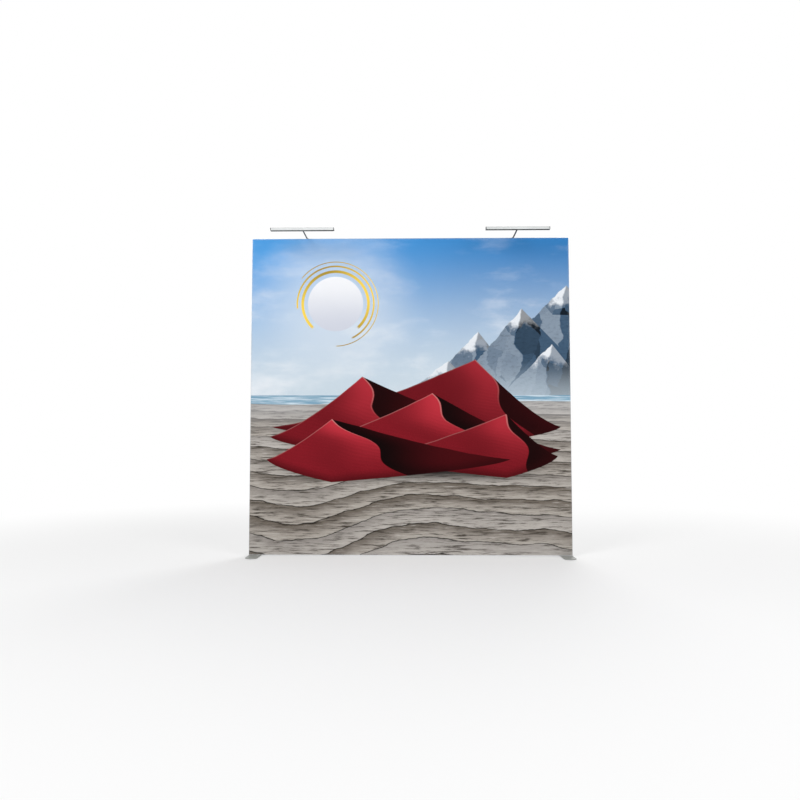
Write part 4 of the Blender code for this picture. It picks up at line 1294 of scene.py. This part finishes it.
class WALL_OT_lights(bpy.types.Operator):
    """Make the two bar lights with their clamps and arms"""
    bl_idname = "display_wall.lights"
    bl_label = "Bar lights"

    def execute(self, context):
        for side, sign in SIDES.items():
            arm_axis, eye = joint_place(f"arm_{side}_swing"), joint_place(f"lamp_{side}_tilt")
            screw_axis = joint_place(f"knob_{side}_turn")
            knob = f"light_knob_{side}"
            dress(f"light_clamp_{side}", "casting", clamp_mesh(side, arm_axis), "dark")
            keep_nodes("zinc", f"light_nut_{side}")
            grip, rod = (moved(mesh, at(screw_axis.x, 0, screw_axis.z) @ STANDING)
                         for mesh in knob_meshes(*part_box(knob)))
            dress(knob, "grip", grip, "plastic", f"knob_{side}")
            add_piece(f"{knob}_screw", rod, "bright", f"knob_{side}")
            dress(f"light_arm_{side}", "tube", arm_mesh(arm_axis, eye), "dark", f"arm_{side}")
            make_lamp(side, sign, eye, context.scene.display_wall.lights.emitters)
        return {"FINISHED"}


# ---------------------------------------------------------------- stage

SOFTBOXES = (
    # name, place, size, watts
    ("key_softbox", (-3.6, -5.2, 4.6), 3.2, 190),
    ("fill_softbox", (3.9, -5.0, 3.4), 3.2, 130),
    ("rear_softbox", (1.5, 5.2, 4.4), 3.4, 170),
)
LIT_POINT = Vector((0, 0, 1.1))
SURROUND = 0.50            # strength of the white surround as a light, which is 1 where it is seen
FLOOR_SIZE, FADE_FROM, FADE_TO, NEAR_WHITE = 60, 1.6, 5.2, 0.34
SENSOR_WIDTH = 36          # millimetres


def floor_material(colour):
    """Pale and matt near the wall. Further out, and to the camera, it fades to white."""
    material = bpy.data.materials.new("pale_floor")
    material.use_nodes = True
    tree = material.node_tree
    g = Graph(tree)
    shader = tree.nodes["Principled BSDF"]
    for label, value in (("Base Color", colour), ("Roughness", 0.75), ("Specular IOR Level", 0.2)):
        g.feed(shader.inputs[label], value)
    x, y, _ = g.parts(g.place())
    far = g.step(g.math("SQRT", x * x + y * y), FADE_FROM, FADE_TO)
    white = g.call("ShaderNodeEmission", {"Color": (1, 1, 1)})
    fade = (far * (1 - NEAR_WHITE) + NEAR_WHITE) * g.seen()
    inputs = {0: fade, 1: Value(g, shader.outputs[0]), 2: white}
    g.feed(tree.nodes["Material Output"].inputs[0], g.call("ShaderNodeMixShader", inputs))
    return material


def white_world():
    world = bpy.data.worlds.new("white_surround")
    world.use_nodes = True
    g = Graph(world.node_tree)
    background = world.node_tree.nodes["Background"]
    g.feed(background.inputs["Color"], (1, 1, 1))
    g.feed(background.inputs["Strength"], g.seen() * (1 - SURROUND) + SURROUND)
    return world


def add_light(name, place, size, watts):
    light = bpy.data.lights.new(name, "AREA")
    light.shape, light.size, light.energy = "DISK", size, watts
    obj = linked(name, light)
    obj.location = place
    obj.rotation_euler = (LIT_POINT - Vector(place)).to_track_quat("-Z", "Y").to_euler()


class WALL_OT_stage(bpy.types.Operator):
    """Set the floor, the soft lamps, the white surround and the camera"""
    bl_idname = "display_wall.stage"
    bl_label = "Stage"

    def execute(self, context):
        settings, scene = context.scene.display_wall.stage, context.scene
        shape = bmesh.new()
        bmesh.ops.create_grid(shape, x_segments=1, y_segments=1, size=FLOOR_SIZE)
        floor = linked("studio_floor", to_mesh(shape, "studio_floor"))
        floor.data.materials.append(floor_material(settings.floor))
        scene.world = white_world()
        for softbox in SOFTBOXES:
            add_light(*softbox)

        camera = bpy.data.cameras.new("front_camera")
        camera.sensor_width, camera.lens = SENSOR_WIDTH, settings.lens
        view = linked("front_camera", camera)
        view.location, view.rotation_euler = settings.camera, settings.aim
        scene.camera = view
        scene.view_settings.view_transform = "Standard"
        return {"FINISHED"}


# ---------------------------------------------------------------- add-on

class WALL_PT_panel(bpy.types.Panel):
    """The wall's settings and the buttons that build it"""
    bl_idname = "WALL_PT_panel"
    bl_label = "Display Wall"
    bl_space_type = "VIEW_3D"
    bl_region_type = "UI"
    bl_category = "Display Wall"

    def draw(self, context):
        wall = context.scene.display_wall
        for group, operators in (("stage", (WALL_OT_stage,)), ("print", (WALL_OT_fabric,)), ("fabric", ()),
                                 ("frame", (WALL_OT_rails, WALL_OT_braces, WALL_OT_levers, WALL_OT_feet)),
                                 ("lights", (WALL_OT_lights,))):
            box = self.layout.box()
            box.label(text=group.title())
            settings = getattr(wall, group)
            for name in settings.bl_rna.properties.keys():
                if name not in ("rna_type", "name"):
                    box.prop(settings, name)
            for operator in operators:
                box.operator(operator.bl_idname)


OPERATORS = (WALL_OT_stage, WALL_OT_fabric, WALL_OT_rails, WALL_OT_braces, WALL_OT_levers, WALL_OT_feet,
             WALL_OT_lights)
CLASSES = (PrintSettings, FabricSettings, FrameSettings, LightSettings, StageSettings, WallSettings,
           *OPERATORS, WALL_PT_panel)


def register():
    for each in CLASSES:
        bpy.utils.register_class(each)
    bpy.types.Scene.display_wall = PointerProperty(type=WallSettings)


def unregister():
    del bpy.types.Scene.display_wall
    for each in reversed(CLASSES):
        bpy.utils.unregister_class(each)


def main():
    register()
    for each in OPERATORS:
        group, name = each.bl_idname.split(".")
        getattr(getattr(bpy.ops, group), name)()


if __name__ == "__main__":
    main()
